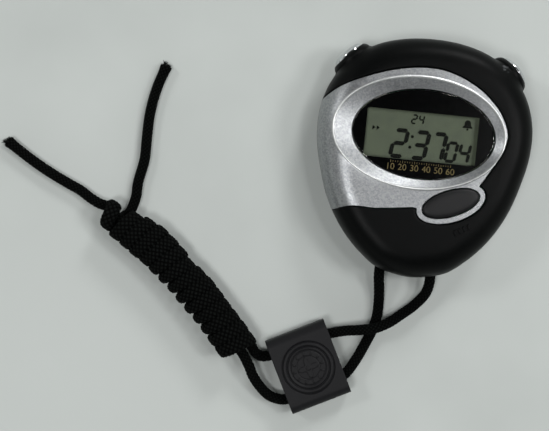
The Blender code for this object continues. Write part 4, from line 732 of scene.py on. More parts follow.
def plate_reach(angles, grow):
    """Distance to the plate's edge: the further of its main field and the loop round the button."""
    field = polar_reach(FIELD, angles) + grow
    loop = ray_oval(angles, MODE_CENTRE, [r + LOOP_WIDTH + grow for r in MODE_RADII], MODE_TILT)[1]
    share = (1 - ((PLATE_FOOT - grow) / FRONT_RISE) ** FRONT_ROUNDNESS) ** (1 / FRONT_ROUNDNESS)
    return np.minimum(np.fmax(field, loop), polar_reach(OUTLINE, angles) - FRONT_SHOULDER * (1 - share))


# %% [markdown]
# The grids of the shell and the plate share their columns, which are rays from the middle. Rays
# that graze the mode button's opening are set closer together, so that its edge stays round.

# %% Columns round the face
circle = np.radians(np.linspace(-180, 180, 7201))
over = circle[~np.isnan(ray_oval(circle, MODE_CENTRE, MODE_RADII, MODE_TILT)[0])]
middle, half = (over[0] + over[-1]) / 2, (over[-1] - over[0]) / 2
over_hole = middle + half * np.sin(np.radians(np.linspace(-90, 90, 91)))
elsewhere = np.linspace(over[-1], over[0] + 2 * np.pi, 560)[1:-1]
ANGLES = np.concatenate([over_hole, elsewhere])
HOLE_COLUMNS = len(over_hole)


def polar_grid(radii, heights):
    """Points from radii and heights in rows, over the columns' angles."""
    return placed(radii * np.cos(ANGLES), radii * np.sin(ANGLES), heights)


print("columns:", len(ANGLES), "of them over the opening:", HOLE_COLUMNS)

# %% [markdown]
# The case is ABS, injection moulded in a black masterbatch. The mould was etched, so the face has a
# fine satin texture that breaks up reflections, about a third of a millimetre from peak to peak.
# By the right button years of handling have chipped it, which leaves small lighter marks.

# %% Black ABS
WORN_PLACE, WORN_REACH = (21.4, 28.6, 15.0), 4.2
CHIP = 0.9  # size of a mark
abs_black = grained(
    "satin_black_abs",
    ("020303", "050606"),
    (0.36, 0.44),
    0.35,
    0.008,
    {"IOR": 1.54, "Specular IOR Level": 0.07},
)
tree = abs_black.node_tree
surface = tree.nodes["Principled BSDF"]
place = add_node(tree, "ShaderNodeTexCoord").outputs["Object"]
chipped = [value * MM for value in WORN_PLACE]
away = add_node(tree, "ShaderNodeVectorMath", {0: place, 1: chipped}, operation="DISTANCE")
near_by = ranged(tree, away.outputs["Value"], 0.0, 1.0, WORN_REACH * MM, 0.0)
worn = worked(tree, "MULTIPLY", noise(tree, place, CHIP, 4.0), near_by)
plain = surface.inputs["Base Color"].links[0].from_socket
tinted(tree, surface, ranged(tree, worn, 0.0, 1.0, 0.25, 0.36), plain, "4A4C4E")
print("chipped for", WORN_REACH, "mm round", WORN_PLACE)

# %% Collars of the push buttons
CROSS = np.array([0.0, 4.15, PARTING_Z])
COLLAR_RADIUS = 6.8
COLLAR_START = 12.0  # nearer to the middle there is no collar
COLLAR_END = 33.4  # where the turned collar goes on alone
SUNK = 0.06  # how far the shell lies under the turned collar
BLEND = 2.6
FILLET = 3.2
ROUNDING, SPREAD = 7.0, 16  # steps of the circle over which the outline is evened out
BUTTONS = ((-1, "left"), (1, "right"))


def button_way(side):
    """The way in which a push button's axis leaves the case, to the left where side is -1."""
    return np.array([side, 1.0, 0.0]) / np.sqrt(2)


def collar_rise(x, y):
    """Rise of the collars over the parting line: sqrt(R^2 - t^2), t being the distance to the axis."""
    rises = []
    for side in (-1, 1):
        along = (side * x + y - CROSS[1]) / np.sqrt(2)
        across = (x - side * (y - CROSS[1])) / np.sqrt(2)
        gap = (COLLAR_RADIUS - SUNK) ** 2 - across**2
        rises.append(np.where(along > COLLAR_START, np.sign(gap) * np.sqrt(np.abs(gap)), -50.0))
    return np.maximum(*rises)


def smooth_max(a, b, reach):
    """The larger of two values, with max(reach-|a-b|, 0)^2 / 4 reach added where they are near."""
    return np.maximum(a, b) + np.maximum(reach - np.abs(a - b), 0) ** 2 / (4 * reach)


# %% Reach of the case with its collars
def case_reach(angles):
    """Distance to the outline or to a collar's end, with a fillet between them.

    A ray leaves a collar where its distance along the axis passes the end, or its distance across
    passes the radius, whichever comes first. The fillet is a smooth maximum.
    """
    found = polar_reach(OUTLINE, circle)
    for side in (-1, 1):
        slope = (np.cos(circle) - side * np.sin(circle)) / np.sqrt(2)
        start = side * CROSS[1] / np.sqrt(2)
        wall = (COLLAR_RADIUS - SUNK) * np.sign(slope)
        sides = (wall - start) / np.where(np.abs(slope) < 1e-9, 1e-9, slope)
        toward = side * np.cos(circle) + np.sin(circle)
        ends = (COLLAR_END * np.sqrt(2) + CROSS[1]) / np.where(toward < 0.3, 0.3, toward)
        reach = np.where(toward > 0.3, np.minimum(sides, ends), 0)
        found = smooth_max(found, reach, FILLET)
    kernel = np.exp(-((np.arange(-SPREAD, SPREAD + 1) / ROUNDING) ** 2))
    padded = np.concatenate([found[-SPREAD - 1 : -1], found, found[1 : SPREAD + 1]])
    found = np.convolve(padded, kernel / kernel.sum(), mode="valid")
    return np.interp(angles, circle, found, period=2 * np.pi)


REACH = case_reach(ANGLES)
BY_COLLAR = REACH > polar_reach(OUTLINE, ANGLES) + 1.3
print("columns that end at a collar:", BY_COLLAR.sum())

# %% [markdown]
# The front shell starts at the gap round the face plate with a small rounded edge and falls to the
# parting line. Its rows crowd toward the outline, where the surface turns steep.

# %% Front shell
EDGE = np.array([(0.0, 1.3), (0.0, 0.3), (0.03, 0.13), (0.12, 0.03), (0.3, 0.0)])  # inset and drop
LIP_Z, LIP_INSETS = PARTING_Z + 0.1, (0.12, 1.0)
SHELL_CROWDING = 2.6
inner = plate_reach(ANGLES, GAP)
edge_radius = np.minimum(inner + EDGE[:, :1], REACH)
edge_height = front_height(edge_radius, ANGLES) - EDGE[:, 1:]
begin = np.minimum(inner + EDGE[-1, 0], REACH)
radius = begin + (REACH - begin) * crowded(45, SHELL_CROWDING)[1:]
x, y = radius * np.cos(ANGLES), radius * np.sin(ANGLES)
height = PARTING_Z + smooth_max(front_height(radius, ANGLES) - PARTING_Z, collar_rise(x, y), BLEND)
height[-1] = np.where(BY_COLLAR, height[-1], LIP_Z)
lip = np.stack([REACH - inset for inset in LIP_INSETS])
rows = len(edge_radius) + len(radius)
keep = np.ones((rows + 1, len(ANGLES)), bool)
keep[rows - 1 :, BY_COLLAR | np.roll(BY_COLLAR, -1)] = False
radii = np.vstack([edge_radius, radius, lip])
heights = np.vstack([edge_height, height, np.full_like(lip, LIP_Z)])
shell = grid_piece("front_shell", polar_grid(radii, heights), abs_black, keep=keep)
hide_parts("front_housing")
print("front shell faces:", len(shell.data.polygons))

# %% [markdown]
# The face plate is ABS, sprayed with a silver lacquer. Its aluminium flakes lie almost flat, each
# tilted a little its own way, so the plate sparkles in grains next to a lamp's reflection and
# looks an even grey elsewhere. The flakes are drawn 0.4 mm wide, ten times their real size, so
# that the sparkle shows. Light comes back strongest where the plate leans to a lamp. Along the
# dish's crest a painted highlight lightens the lacquer's colour towards white.

# %% Silver lacquer
FLAKE, PEEL, PEEL_RELIEF = 0.4, 1.1, 0.019  # width of a flake and of a wave, and the waves' height
silver, tree, surface = new_material("silver_flake_lacquer", {"Metallic": 1.0})
place = add_node(tree, "ShaderNodeTexCoord").outputs
flakes = add_node(tree, "ShaderNodeTexVoronoi", {"Vector": place["Object"], "Scale": 1 / (FLAKE * MM)})
parts = add_node(tree, "ShaderNodeSeparateColor", {0: flakes.outputs["Color"]}).outputs
# painted highlight: the UV's first coordinate lightens the lacquer towards white along the crest
painted_highlight = add_node(tree, "ShaderNodeSeparateXYZ", {"Vector": place["UV"]}).outputs[0]
flake_tone = tinted(tree, surface, parts[0], "8B8D90", "A5A7A8")
tinted(tree, surface, painted_highlight, flake_tone, "EFF0F0")
tree.links.new(ranged(tree, parts[1], 0.35, 0.46), surface.inputs["Roughness"])
orange_peel = noise(tree, place["Object"], PEEL, 2.0)
embossed(tree, surface, worked(tree, "MULTIPLY_ADD", parts[2], 0.35, orange_peel), PEEL_RELIEF)

# %% [markdown]
# One grid covers the whole plate: from the lens up the dish, over its crest, across the field and
# down the edge. The rows part at the mode button's opening, and elsewhere the two sides of that
# slit are merged again. The crest carries a fine bead, and a painted highlight lightens the colour
# along it, so a light line runs round the dish. The first coordinate of the plate's UV says how
# strong that painted highlight is.

# %% Opening, crest and edge of the plate
CREST_SOFTNESS = 0.10
BEAD, BEAD_WIDTH = 0.18, 0.3
PAINTED_HIGHLIGHT_WIDTH = 0.3
FIELD_DROP, FIELD_RUN = 0.45, 5.0  # how far the field sinks behind the crest, and over what distance
CREST_ROWS = np.array([0.08, 0.17, 0.28, 0.42])[:, None]
CREST_REACH = 0.6
FIELD_CROWDING = 2.4
RIM_DEPTH, WALL_DEPTHS, SKIRT_DEPTHS = 0.9, (0.12, 1.0), (0.1, 1.0)  # of the faces that go down
lens_rim = ray_oval(ANGLES, LENS_CENTRE, [r + OPENING for r in LENS_RADII])[1]
crest = ray_oval(ANGLES, DISH_CENTRE, DISH_RADII)[1]
rim_out = plate_reach(ANGLES, 0.0)
near, far = ray_oval(ANGLES, MODE_CENTRE, [r + OPENING for r in MODE_RADII], MODE_TILT)
in_hole = np.arange(len(ANGLES)) < HOLE_COLUMNS
near, far = np.where(in_hole, np.nan_to_num(near), 0), np.where(in_hole, np.nan_to_num(far), 0)
share = ((near + far) / 2 - crest) / (rim_out - crest)
slit = crest + (rim_out - crest) * np.linspace(share[HOLE_COLUMNS - 1], share[0], len(ANGLES))
near, far = np.where(in_hole, near, slit), np.where(in_hole, far, slit)


def plate_height(radius):
    """The lower of the dish's cone and the field, rounded where they meet, and the bead there.

    The field is the front surface, lifted by l(1-s^2) where the crest would lie too low, less
    drop * (1-exp(-w/run)): s is the share of the way from the crest to the edge and w the distance
    in millimetres. min(a, b) is softened to (a + b - sqrt((a-b)^2 + softness^2)) / 2.
    """
    lift = smooth_max(CREST_LOW - front_height(crest, ANGLES), 0.0, 0.3)
    crest_height = front_height(crest, ANGLES) + lift
    cone = LENS_EDGE_Z + (crest_height - LENS_EDGE_Z) * (radius - lens_rim) / (crest - lens_rim)
    outward = np.maximum(radius - crest, 0)
    front = front_height(radius, ANGLES) + lift * (1 - np.clip(outward / (rim_out - crest), 0, 1) ** 2)
    front = front - FIELD_DROP * (1 - np.exp(-outward / FIELD_RUN))
    bead = BEAD * np.exp(-(((radius - crest) / BEAD_WIDTH) ** 2))
    return (cone + front - np.sqrt((cone - front) ** 2 + CREST_SOFTNESS**2)) / 2 + bead


# %% Rows of the plate
s = np.linspace(0, 1, 19)[:, None]
dish_rows = crest - CREST_REACH - (crest - CREST_REACH - lens_rim) * (1 - s)
crest_rows = np.vstack([crest - CREST_ROWS[::-1], crest])
brim = np.vstack([CREST_ROWS, [[CREST_REACH]]]) * np.minimum(1, (near - crest) / 1.2)
s = np.linspace(0, 1, 13)[1:, None]
field_rows = crest + brim[-1] + (near - crest - brim[-1]) * s
outer_rows = far + (rim_out - far) * crowded(29, FIELD_CROWDING)
top_rows = np.vstack([lens_rim, dish_rows, crest_rows, crest + brim, field_rows])
top_heights = plate_height(top_rows)
top_heights[0] -= RIM_DEPTH
drop = in_hole * np.array(WALL_DEPTHS)[:, None]
wall_heights = plate_height(np.stack([near, near])) - drop
far_wall_heights = plate_height(np.stack([far, far])) - drop[::-1]
skirt_heights = plate_height(rim_out[None]) - np.array(SKIRT_DEPTHS)[:, None]
radius = np.vstack([top_rows, near, near, far, far, outer_rows, rim_out + 0.02, rim_out + 0.02])
height = np.vstack([top_heights, wall_heights, far_wall_heights, plate_height(outer_rows), skirt_heights])
keep = np.ones((len(radius) - 1, len(ANGLES)), bool)
first = len(top_rows) - 1
keep[first : first + 2, HOLE_COLUMNS - 1 :] = False
keep[first + 2] = False
keep[first + 3 : first + 5, HOLE_COLUMNS - 1 :] = False
print("rows of the plate:", len(radius))

# %% Face plate
# painted highlight along the dish's crest, handed to the lacquer through the UV
crest_painted_highlight = np.exp(-(((radius - crest) / PAINTED_HIGHLIGHT_WIDTH) ** 2))
crest_painted_highlight = np.hstack([crest_painted_highlight, crest_painted_highlight[:, :1]])
uv = np.stack([crest_painted_highlight, crest_painted_highlight], axis=-1)
plate = grid_piece("face_plate", polar_grid(radius, height), silver, keep=keep, uv=uv)


def merged(piece, distance):
    """The piece with points nearer than this made one, and points that carry no face left out."""
    shape = bmesh.new()
    shape.from_mesh(piece.data)
    bmesh.ops.remove_doubles(shape, verts=shape.verts, dist=distance * MM)
    bmesh.ops.delete(shape, geom=[v for v in shape.verts if not v.link_faces], context="VERTS")
    shape.to_mesh(piece.data)
    shape.free()
    return piece


merged(plate, 0.002)
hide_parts("silver_face_plate")
print("face plate faces:", len(plate.data.polygons))

# %% [markdown]
# The lens is a slightly crowned oval of clear acrylic over a film that is printed black all round
# the window. Acrylic lets the light through and adds a faint gloss, stronger at a glancing angle,
# so its surface mixes a clear one with a mirror by the Fresnel share.

# %% Clear acrylic
acrylic = bpy.data.materials.new("polished_clear_acrylic")
acrylic.use_nodes = True
tree = acrylic.node_tree
tree.nodes.clear()
share = add_node(tree, "ShaderNodeFresnel", {"IOR": 1.49}).outputs[0]
clear = add_node(tree, "ShaderNodeBsdfTransparent", {"Color": linear("F2F4F2")}).outputs[0]
gloss = add_node(tree, "ShaderNodeBsdfGlossy", {"Color": linear("FFFFFF"), "Roughness": 0.02}).outputs[0]
mixed = add_node(tree, "ShaderNodeMixShader", {0: share, 1: clear, 2: gloss}).outputs[0]
add_node(tree, "ShaderNodeOutputMaterial", {"Surface": mixed})
print("finish of the lens:", acrylic.name)

# %% Ovals as grids
OVAL_SIDES = 144


def oval_rings(centre, radii, tilt, insets, heights):
    """Rings of an ellipse from the middle outwards, each at its height.

    The outer rings are drawn in by an inset, rx-i and ry-i, and inside the innermost of them the
    rings shrink as a whole to a point.
    """
    angle = whole_turn(OVAL_SIDES)
    insets = np.array(insets, float)
    inside = np.linspace(0.02, 1, len(heights) - len(insets) + 1)[:-1]
    across, down = [np.concatenate([(r - insets[0]) * inside, r - insets])[:, None] for r in radii]
    x, y = rotated(across * np.cos(angle), down * np.sin(angle), tilt, centre)
    return placed(x, y, np.array(heights, float)[:, None])


# %% Lens
LENS_CROWN = 0.12
LENS_THICKNESS = 1.15
LENS_INSETS = [0.7, 0.5, 0.4, 0.3, 0.2, OPENING, OPENING]
inside = np.linspace(0.02, 1, 13)[:-1]
edge_drops = np.array([0.0, 0.002, 0.006, 0.03, 0.09, 0.2, LENS_THICKNESS])
heights = np.concatenate([LENS_EDGE_Z + LENS_CROWN * (1 - inside**2), LENS_EDGE_Z - edge_drops])
rings = oval_rings(LENS_CENTRE, LENS_RADII, 0, LENS_INSETS, heights)
lens = grid_piece("lens_cover", rings, acrylic, ends=(0,))
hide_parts("lens")
print("lens rings:", len(rings))

# %% [markdown]
# Under the lens lies a polyester film, screen printed in gloss black with a plain scale in gold
# ink below the window: tens from 10 to 60 and a row of ticks. Ink dries a little uneven.

# %% Printed film
settings = {"IOR": 1.5, "Specular IOR Level": 0.08}
print_black = grained("screen_printed_black", ("020203", "040406"), (0.18, 0.24), 1.5, 0.002, settings)
settings = {"Metallic": 0.2, "Specular IOR Level": 0.3}
gold_ink = grained("screen_printed_gold", ("7C6C44", "9E8D60"), (0.45, 0.60), 0.4, 0.003, settings)


def flat_faces(name, outlines, z, finish):
    """Flat faces that look up at one height, each from its own outline of points, counter-clockwise."""
    starts = np.cumsum([0] + [len(outline) for outline in outlines])
    faces = [list(range(first, last)) for first, last in zip(starts[:-1], starts[1:])]
    piece = new_piece(name, placed(*np.vstack(outlines).T, z), faces, finish)
    piece.data.shade_flat()
    return piece


def upright_bar(x, y, width, height):
    """The four corners of an upright bar about a point."""
    return np.array([(-1, -1), (1, -1), (1, 1), (-1, 1)]) * [width / 2, height / 2] + [x, y]


# %% Gold scale
FILM_TOP = 16.42
SCALE_X, SCALE_LENGTH = -1.0, 18.4
TICK_Y, TICK_WIDTH, TICK_LENGTH, LONG_TICK = -2.05, 0.16, 0.45, 0.75
NUMERAL_Y, NUMERAL_SIZE = -3.75, 2.75
ticks = np.linspace(-SCALE_LENGTH / 2, SCALE_LENGTH / 2, 26) + SCALE_X
lengths = [TICK_LENGTH if i % 5 else LONG_TICK for i in range(26)]
bars = [upright_bar(x, TICK_Y, TICK_WIDTH, length) for x, length in zip(ticks, lengths)]
flat_faces("gold_ticks", bars, FILM_TOP, gold_ink)
for count, x in enumerate(ticks[::5]):
    number = str(10 * count + 10)
    letters = bpy.data.curves.new("numeral", "FONT")
    letters.body, letters.size = number, NUMERAL_SIZE * MM
    letters.align_x, letters.align_y = "CENTER", "CENTER"
    holder = new_object("numeral", letters)
    bpy.context.view_layer.update()
    mesh = bpy.data.meshes.new_from_object(holder.evaluated_get(bpy.context.evaluated_depsgraph_get()))
    bpy.data.objects.remove(holder)
    mesh.transform(Matrix.Translation([x * MM, NUMERAL_Y * MM, FILM_TOP * MM]))
    mesh.materials.clear()
    mesh.materials.append(gold_ink)
    numeral = new_object("gold_numeral_" + number, mesh)
    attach(numeral, "watch")
print("ticks:", len(ticks))

# %% [markdown]
# A reflective display has a grey-green foil behind the liquid crystal, and lit bars are dark over
# it. The bars stand a little over the foil, so each throws a faint shadow. A digit is seven bars
# with pointed ends, all leaning to the right.

# %% Display foil and bars
lcd_green = grained(
    "display_foil", ("78816E", "828C75"), (0.50, 0.60), 3.0, 0.004, {"Specular IOR Level": 0.3}
)
lit_black = grained(
    "liquid_crystal_bar", ("060806", "0B0D0A"), (0.5, 0.6), 0.8, 0.0, {"Specular IOR Level": 0.05}
)
CORNERS = np.array([(0, 2), (1, 2), (1, 1), (1, 0), (0, 0), (0, 1)], float)
SEGMENT_ENDS = CORNERS[[(0, 1), (1, 2), (2, 3), (3, 4), (4, 5), (5, 0), (5, 2)]]
LIT_BARS = {0: "012345", 2: "01643", 3: "01623", 4: "5612", 7: "012"}
LEAN = np.tan(np.radians(8))
TIP_SHARE, NECK_SHARE = 0.08, 0.5  # of the stroke: where a bar's point and its shoulders lie
BAR_Z = 14.45


def digit_bars(value, left, foot, width, height, stroke):
    """Six corners of each lit bar: along the bar from both ends, with the ends drawn to points."""
    ends = SEGMENT_ENDS[[int(bar) for bar in LIT_BARS[value]]] * [width, height / 2]
    way = unit(ends[:, 1] - ends[:, 0])
    side = np.column_stack([-way[:, 1], way[:, 0]]) * stroke / 2
    tip, neck = way * stroke * TIP_SHARE, way * stroke * NECK_SHARE
    start, stop = ends[:, 0], ends[:, 1]
    below = [start + tip, start + neck - side, stop - neck - side]
    corners = np.stack([*below, stop - tip, stop - neck + side, start + neck + side], axis=1)
    corners[..., 0] += corners[..., 1] * LEAN
    return list(corners + [left, foot])


# %% Digits and signs
BIG, SMALL, TINY = (8.0, 1.3), (2.8, 5.7, 1.0), (1.3, 2.6, 0.5)
DIGITS = (  # value, left side, foot, width, height and stroke
    (2, -10.4, -0.3, 3.8, *BIG),
    (3, -3.8, -0.3, 3.8, *BIG),
    (7, 1.7, -0.3, 3.6, *BIG),
    (0, 6.5, -0.3, *SMALL),
    (4, 10.5, -0.3, *SMALL),
    (2, -4.8, 10.2, *TINY),
    (4, -2.6, 10.2, *TINY),
)
COLON = ((-4.1, 6.1), (-4.55, 2.8))
POINTERS_X, POINTER = (-16.6, -15.3), np.array([(0.0, 7.1), (1.0, 7.8), (0.0, 8.5)])
HALF_BELL = np.array(
    [(0.0, -1.15), (1.55, -1.15), (1.5, -0.85), (1.05, -0.35), (0.95, 0.6), (0.6, 1.15), (0.0, 1.35)]
)
BELL_PLACE, CLAPPER_PLACE = (12.5, 11.5), (12.5, 9.95)
DOT, CLAPPER = 0.5, 0.32  # radii
outlines = [bar for digit in DIGITS for bar in digit_bars(*digit)]
disc = np.column_stack([np.cos(whole_turn(16)), np.sin(whole_turn(16))])
outlines += [disc * DOT + place for place in COLON]
# two small pointers for the half of the day, and a bell for the alarm
outlines += [POINTER + (x, 0.0) for x in POINTERS_X]
bell = np.vstack([HALF_BELL, HALF_BELL[-2:0:-1] * [-1, 1]])
outlines += [bell + BELL_PLACE, disc * CLAPPER + CLAPPER_PLACE]
flat_faces("lit_bars", outlines, BAR_Z, lit_black)
print("lit shapes:", len(outlines))

# %% [markdown]
# The mode button is a moulded silicone key: a flat oval with a rounded shoulder, softer and
# blacker than the case. It rides its own joint and is pressed along the height.

# %% Mode button
silicone = grained(
    "moulded_black_silicone",
    ("09090B", "0F0F11"),
    (0.42, 0.52),
    0.5,
    0.006,
    {"IOR": 1.42, "Specular IOR Level": 0.38},
)
MODE_TOP = FACE_Z + 0.6
MODE_DROPS = np.array([0.0, 0.0, 0.0, 0.0, 0.01, 0.03, 0.06, 0.12, 0.22, 0.36, 0.55, 0.85, 3.2])
MODE_INSETS = [2.2, 1.75, 1.35, 1.0, 0.7, 0.45, 0.28, 0.18, 0.15]
rings = oval_rings(MODE_CENTRE, MODE_RADII, MODE_TILT, MODE_INSETS, MODE_TOP - MODE_DROPS)
mode = grid_piece("mode_key", rings, silicone, "mode_button", ends=(0,))
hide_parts("mode_button")
print("mode key rings:", len(rings))

# %% Raised mark by the mode button
MARK_PLACE, MARK_TURN = (13.1, -21.0), 29.0
MARK_BARS, BAR_SIZE = (-2.25, -0.75, 0.75, 2.25), (0.8, 1.9)
MARK_RISE, MARK_DEPTH, MARK_TAPER = 0.32, 0.2, 0.8
bars = []
for place in MARK_BARS:
    x, y = rotated(*upright_bar(place, 0.0, *BAR_SIZE).T, MARK_TURN, MARK_PLACE)
    bars.append(placed(x, y, front_height(np.hypot(x, y), np.arctan2(y, x))))
lifted = np.stack(bars) + [0, 0, MARK_RISE]
middles = lifted.mean(axis=1, keepdims=True)
drawn_in = middles + (lifted - middles) * [MARK_TAPER, MARK_TAPER, 1]
verts = np.concatenate([np.stack(bars) - [0, 0, MARK_DEPTH], drawn_in], axis=1).reshape(-1, 3)
faces = []
for first in range(0, len(verts), 8):
    faces += [[first + 4, first + 5, first + 6, first + 7]]
    faces += [[first + i, first + (i + 1) % 4, first + 4 + (i + 1) % 4, first + 4 + i] for i in range(4)]
mark = new_piece("raised_mark", verts, faces, abs_black)
mark.data.shade_flat()
print("bars in the mark:", len(bars))

# %% [markdown]
# Each push button has a brass cap, nickel plated and then chromed. Chrome is a mirror: it shows the
# pale table, the lamps and the dark room overhead as sharp bands. The turned rim round it is part
# of the case moulding and closes the collar down to the bore in which the cap slides.

# %% Chrome and the turned profiles
chrome = grained("polished_chrome_plate", ("C6C8CA", "D4D6D8"), (0.06, 0.14), 1.2, 0.002, {"Metallic": 1.0})
CAP_PROFILE = [
    (5.2, 34.15), (5.2, 35.0), (5.2, 36.1), (5.05, 36.75), (4.45, 37.35), (2.9, 37.82),
    (1.3, 37.98), (0.06, 38.0),
]
COLLAR_PROFILE = [
    (6.8, 22.0), (6.8, 28.0), (6.8, 33.0), (6.78, 34.1), (6.68, 34.8), (6.45, 35.4), (6.1, 35.9),
    (5.75, 36.2), (5.56, 36.2), (5.48, 36.0), (5.48, 34.5), (5.48, 33.0),
]


def turned_piece(name, profile, side, finish, body="watch", ends=()):
    """A profile of (radius, distance) carried round a button's axis, which leaves the case at 45 degrees.

    A point is cross + distance * out + radius * (cos(a) * level + sin(a) * up), with level = out x up.
    """
    angle = whole_turn(96)
    level = np.array([1.0, -side, 0.0]) / np.sqrt(2)
    radius, distance = smooth_line(profile, 5).T[..., None]
    points = (
        CROSS
        + distance[..., None] * button_way(side)
        + (radius * np.cos(angle))[..., None] * level
        + (radius * np.sin(angle))[..., None] * UP
    )
    return grid_piece(name, points, finish, body, ends=ends)


# %% Chrome caps and collar rims
for side, word in BUTTONS:
    cap = turned_piece(word + "_chrome_cap", CAP_PROFILE, side, chrome, word + "_button", (1,))
    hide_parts(word + "_button_cap")
    turned_piece(word + "_collar", COLLAR_PROFILE, side, abs_black)
print("caps and collars:", [word for _, word in BUTTONS])

# %% [markdown]
# Pieces whose shape the CAD model already holds keep it. A copy of the node's triangles is joined
# at their corners and shaded smoothly wherever two faces meet at a small angle, so that round
# parts look round and real edges stay sharp. Faces that a finer piece covers are left out.


# %% Copies of CAD nodes
def smoothed_copy(name, finish, angle=32.0, leave=None, shift=None):
    """A copy of a CAD node with its corners joined, smooth up to an angle in degrees.

    Leave takes the middles of the triangles in millimetres and says which of them go. Shift takes
    the points and gives their new places.
    """
    node = frame["nodes"][name]
    points = np.zeros(len(node.data.vertices) * 3)
    node.data.vertices.foreach_get("co", points)
    corners = np.zeros(len(node.data.polygons) * 3, int)
    node.data.polygons.foreach_get("vertices", corners)
    points, index = np.unique(np.round(points.reshape(-1, 3) / MM, 4), axis=0, return_inverse=True)
    faces = index.reshape(-1)[corners].reshape(-1, 3)
    faces = faces[(faces != np.roll(faces, 1, axis=1)).all(axis=1)]
    if leave is not None:
        faces = faces[~leave(points[faces].mean(axis=1))]
    points = points if shift is None else shift(points)
    piece = new_piece(name + "_finished", points, faces.tolist(), finish, node["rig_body"])
    piece.data.set_sharp_from_angle(angle=np.radians(angle))
    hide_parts(name)
    return piece


# %% Rear of the case and the battery door
DRAWN_FROM, DRAWN_TO = 26.0, 0.985  # from here along the axis, and to this share of the radius


def under_collars(points):
    """The points with the lower halves of the collars drawn in under the turned collars."""
    points = points.copy()
    for side, _ in BUTTONS:
        out = button_way(side)
        along = (points - CROSS) @ out
        from_axis = points - CROSS - along[:, None] * out
        far = (along > DRAWN_FROM) & (np.linalg.norm(from_axis, axis=1) < COLLAR_RADIUS + 0.2)
        drawn_in = CROSS + np.minimum(along, COLLAR_END)[:, None] * out + from_axis * DRAWN_TO
        points[far] = drawn_in[far]
    return points


rear = smoothed_copy("rear_housing", abs_black, angle=38.0, shift=under_collars)
door = smoothed_copy("battery_door", abs_black)
print("rear and door faces:", len(rear.data.polygons), len(door.data.polygons))

# %% [markdown]
# Four self-tapping screws of plated steel hold the halves together, deep in their holes. Each head
# has a cross recess: two arms that narrow toward the bottom, cut where min(|x|, |y|) is small.

# %% Case screws
steel = grained("nickel_plated_steel", ("8F9092", "B4B5B6"), (0.22, 0.36), 0.8, 0.004, {"Metallic": 1.0})
SCREWS = ((-10.5, 30.6), (10.5, 30.6), (19.0, -20.5), (-19.0, -20.5))
SCREW_Z = 1.7
CROWN, CROWN_REACH = 0.06, 1.4
ARM_WIDTH, ARM_REACH, ARM_DEPTH = 0.28, 1.05, 0.75
FLANK, FOOT = 0.14, 0.25  # how far an arm's sides and its ends slope
RIM, RIM_DROPS = [1.55, 1.7, 1.8, 1.86, 1.89, 1.9, 1.9], [0.0, 0.02, 0.06, 0.12, 0.2, 0.35, 1.0]
HEAD_HEIGHT = 1.2
FIRST_TURN, TURN_STEP = 20.0, 33.0  # degrees; no two recesses stop at the same angle
angle = whole_turn(96)
radius = np.concatenate([np.linspace(0.02, CROWN_REACH, 24), RIM])[:, None]
x, y = radius * np.cos(angle), radius * np.sin(angle)
arm = eased((ARM_WIDTH - np.minimum(np.abs(x), np.abs(y))) / FLANK + 0.5)
depth = ARM_DEPTH * arm * eased((ARM_REACH - radius) / FOOT + 0.5)
crown = np.concatenate([CROWN * (1 - np.linspace(0, 1, 24) ** 2), RIM_DROPS])[:, None]
z = SCREW_Z + depth + crown - CROWN * (radius < CROWN_REACH)
for count, place in enumerate(SCREWS, 1):
    screw = "case_screw_" + str(count)
    smoothed_copy(screw, steel, leave=lambda middles: middles[:, 2] < SCREW_Z + HEAD_HEIGHT)
    points = placed(*rotated(x, y, FIRST_TURN + TURN_STEP * count), z) + [*place, 0.0]
    grid_piece(screw + "_head", points[:, ::-1], steel, ends=(0,))
print("screws:", len(SCREWS))

# %% [markdown]
# The cord slider is a flat sleeve of moulded nylon that is cut from a long section, so its long
# edges are round and its ends are crisp. Its face carries a round medal in low relief. Here the
# medal has a plain design: a raised band, four grooves, a ring of twelve ticks and a star with four
# points.

# %% Slider nylon and its relief
slider_nylon = grained(
    "moulded_black_nylon",
    ("0B0B0D", "111114"),
    (0.46, 0.58),
    0.45,
    0.010,
    {"IOR": 1.53, "Specular IOR Level": 0.2},
)
SLIDER_CENTRE, SLIDER_ANGLE = (-28.35, -68.82), 26.9
SLIDER_HALF = (9.9, 12.3)  # along the channels and across them
SLIDER_HEIGHT, SLIDER_ROUNDING = 7.5, 2.7
MEDAL = 8.7
BANDS = (  # radius, width, and rise, which is less than 0 for a groove
    (7.45, 0.45, 0.12),
    (8.2, 0.20, -0.42),
    (6.7, 0.24, -0.42),
    (5.5, 0.16, -0.26),
    (3.7, 0.12, -0.16),
)
MIDDLE, MIDDLE_DROP = 6.1, 0.10
TICKS, TICKS_FROM, TICKS_TO = 12, 4.0, 5.1
BOSS, BOSS_RISE = 0.9, 0.22
RAISED = 0.26  # height of the ticks and the star


def medal_relief(radius, angle):
    """Height of the medal over the face, from the radius r and the angle a.

    Grooves and bands are bells exp(-((r-r0)/w)^2), ticks rise where cos(12a) is near 1, and the
    star reaches to 1.5 + 1.9 |cos(2a)|^3.
    """
    height = sum(rise * np.exp(-(((radius - place) / width) ** 2)) for place, width, rise in BANDS)
    tick = eased((np.cos(TICKS * angle) - 0.72) / 0.12)
    tick = tick * eased((radius - TICKS_FROM) / 0.2) * eased((TICKS_TO - radius) / 0.2)
    star = eased((1.5 + 1.9 * np.abs(np.cos(2 * angle)) ** 3 - radius) / 0.22)
    boss = BOSS_RISE * eased((BOSS - radius) / 0.3)
    return height - MIDDLE_DROP * eased((MIDDLE - radius) / 0.3) + RAISED * tick + RAISED * star + boss


print("bands and grooves of the medal:", len(BANDS))


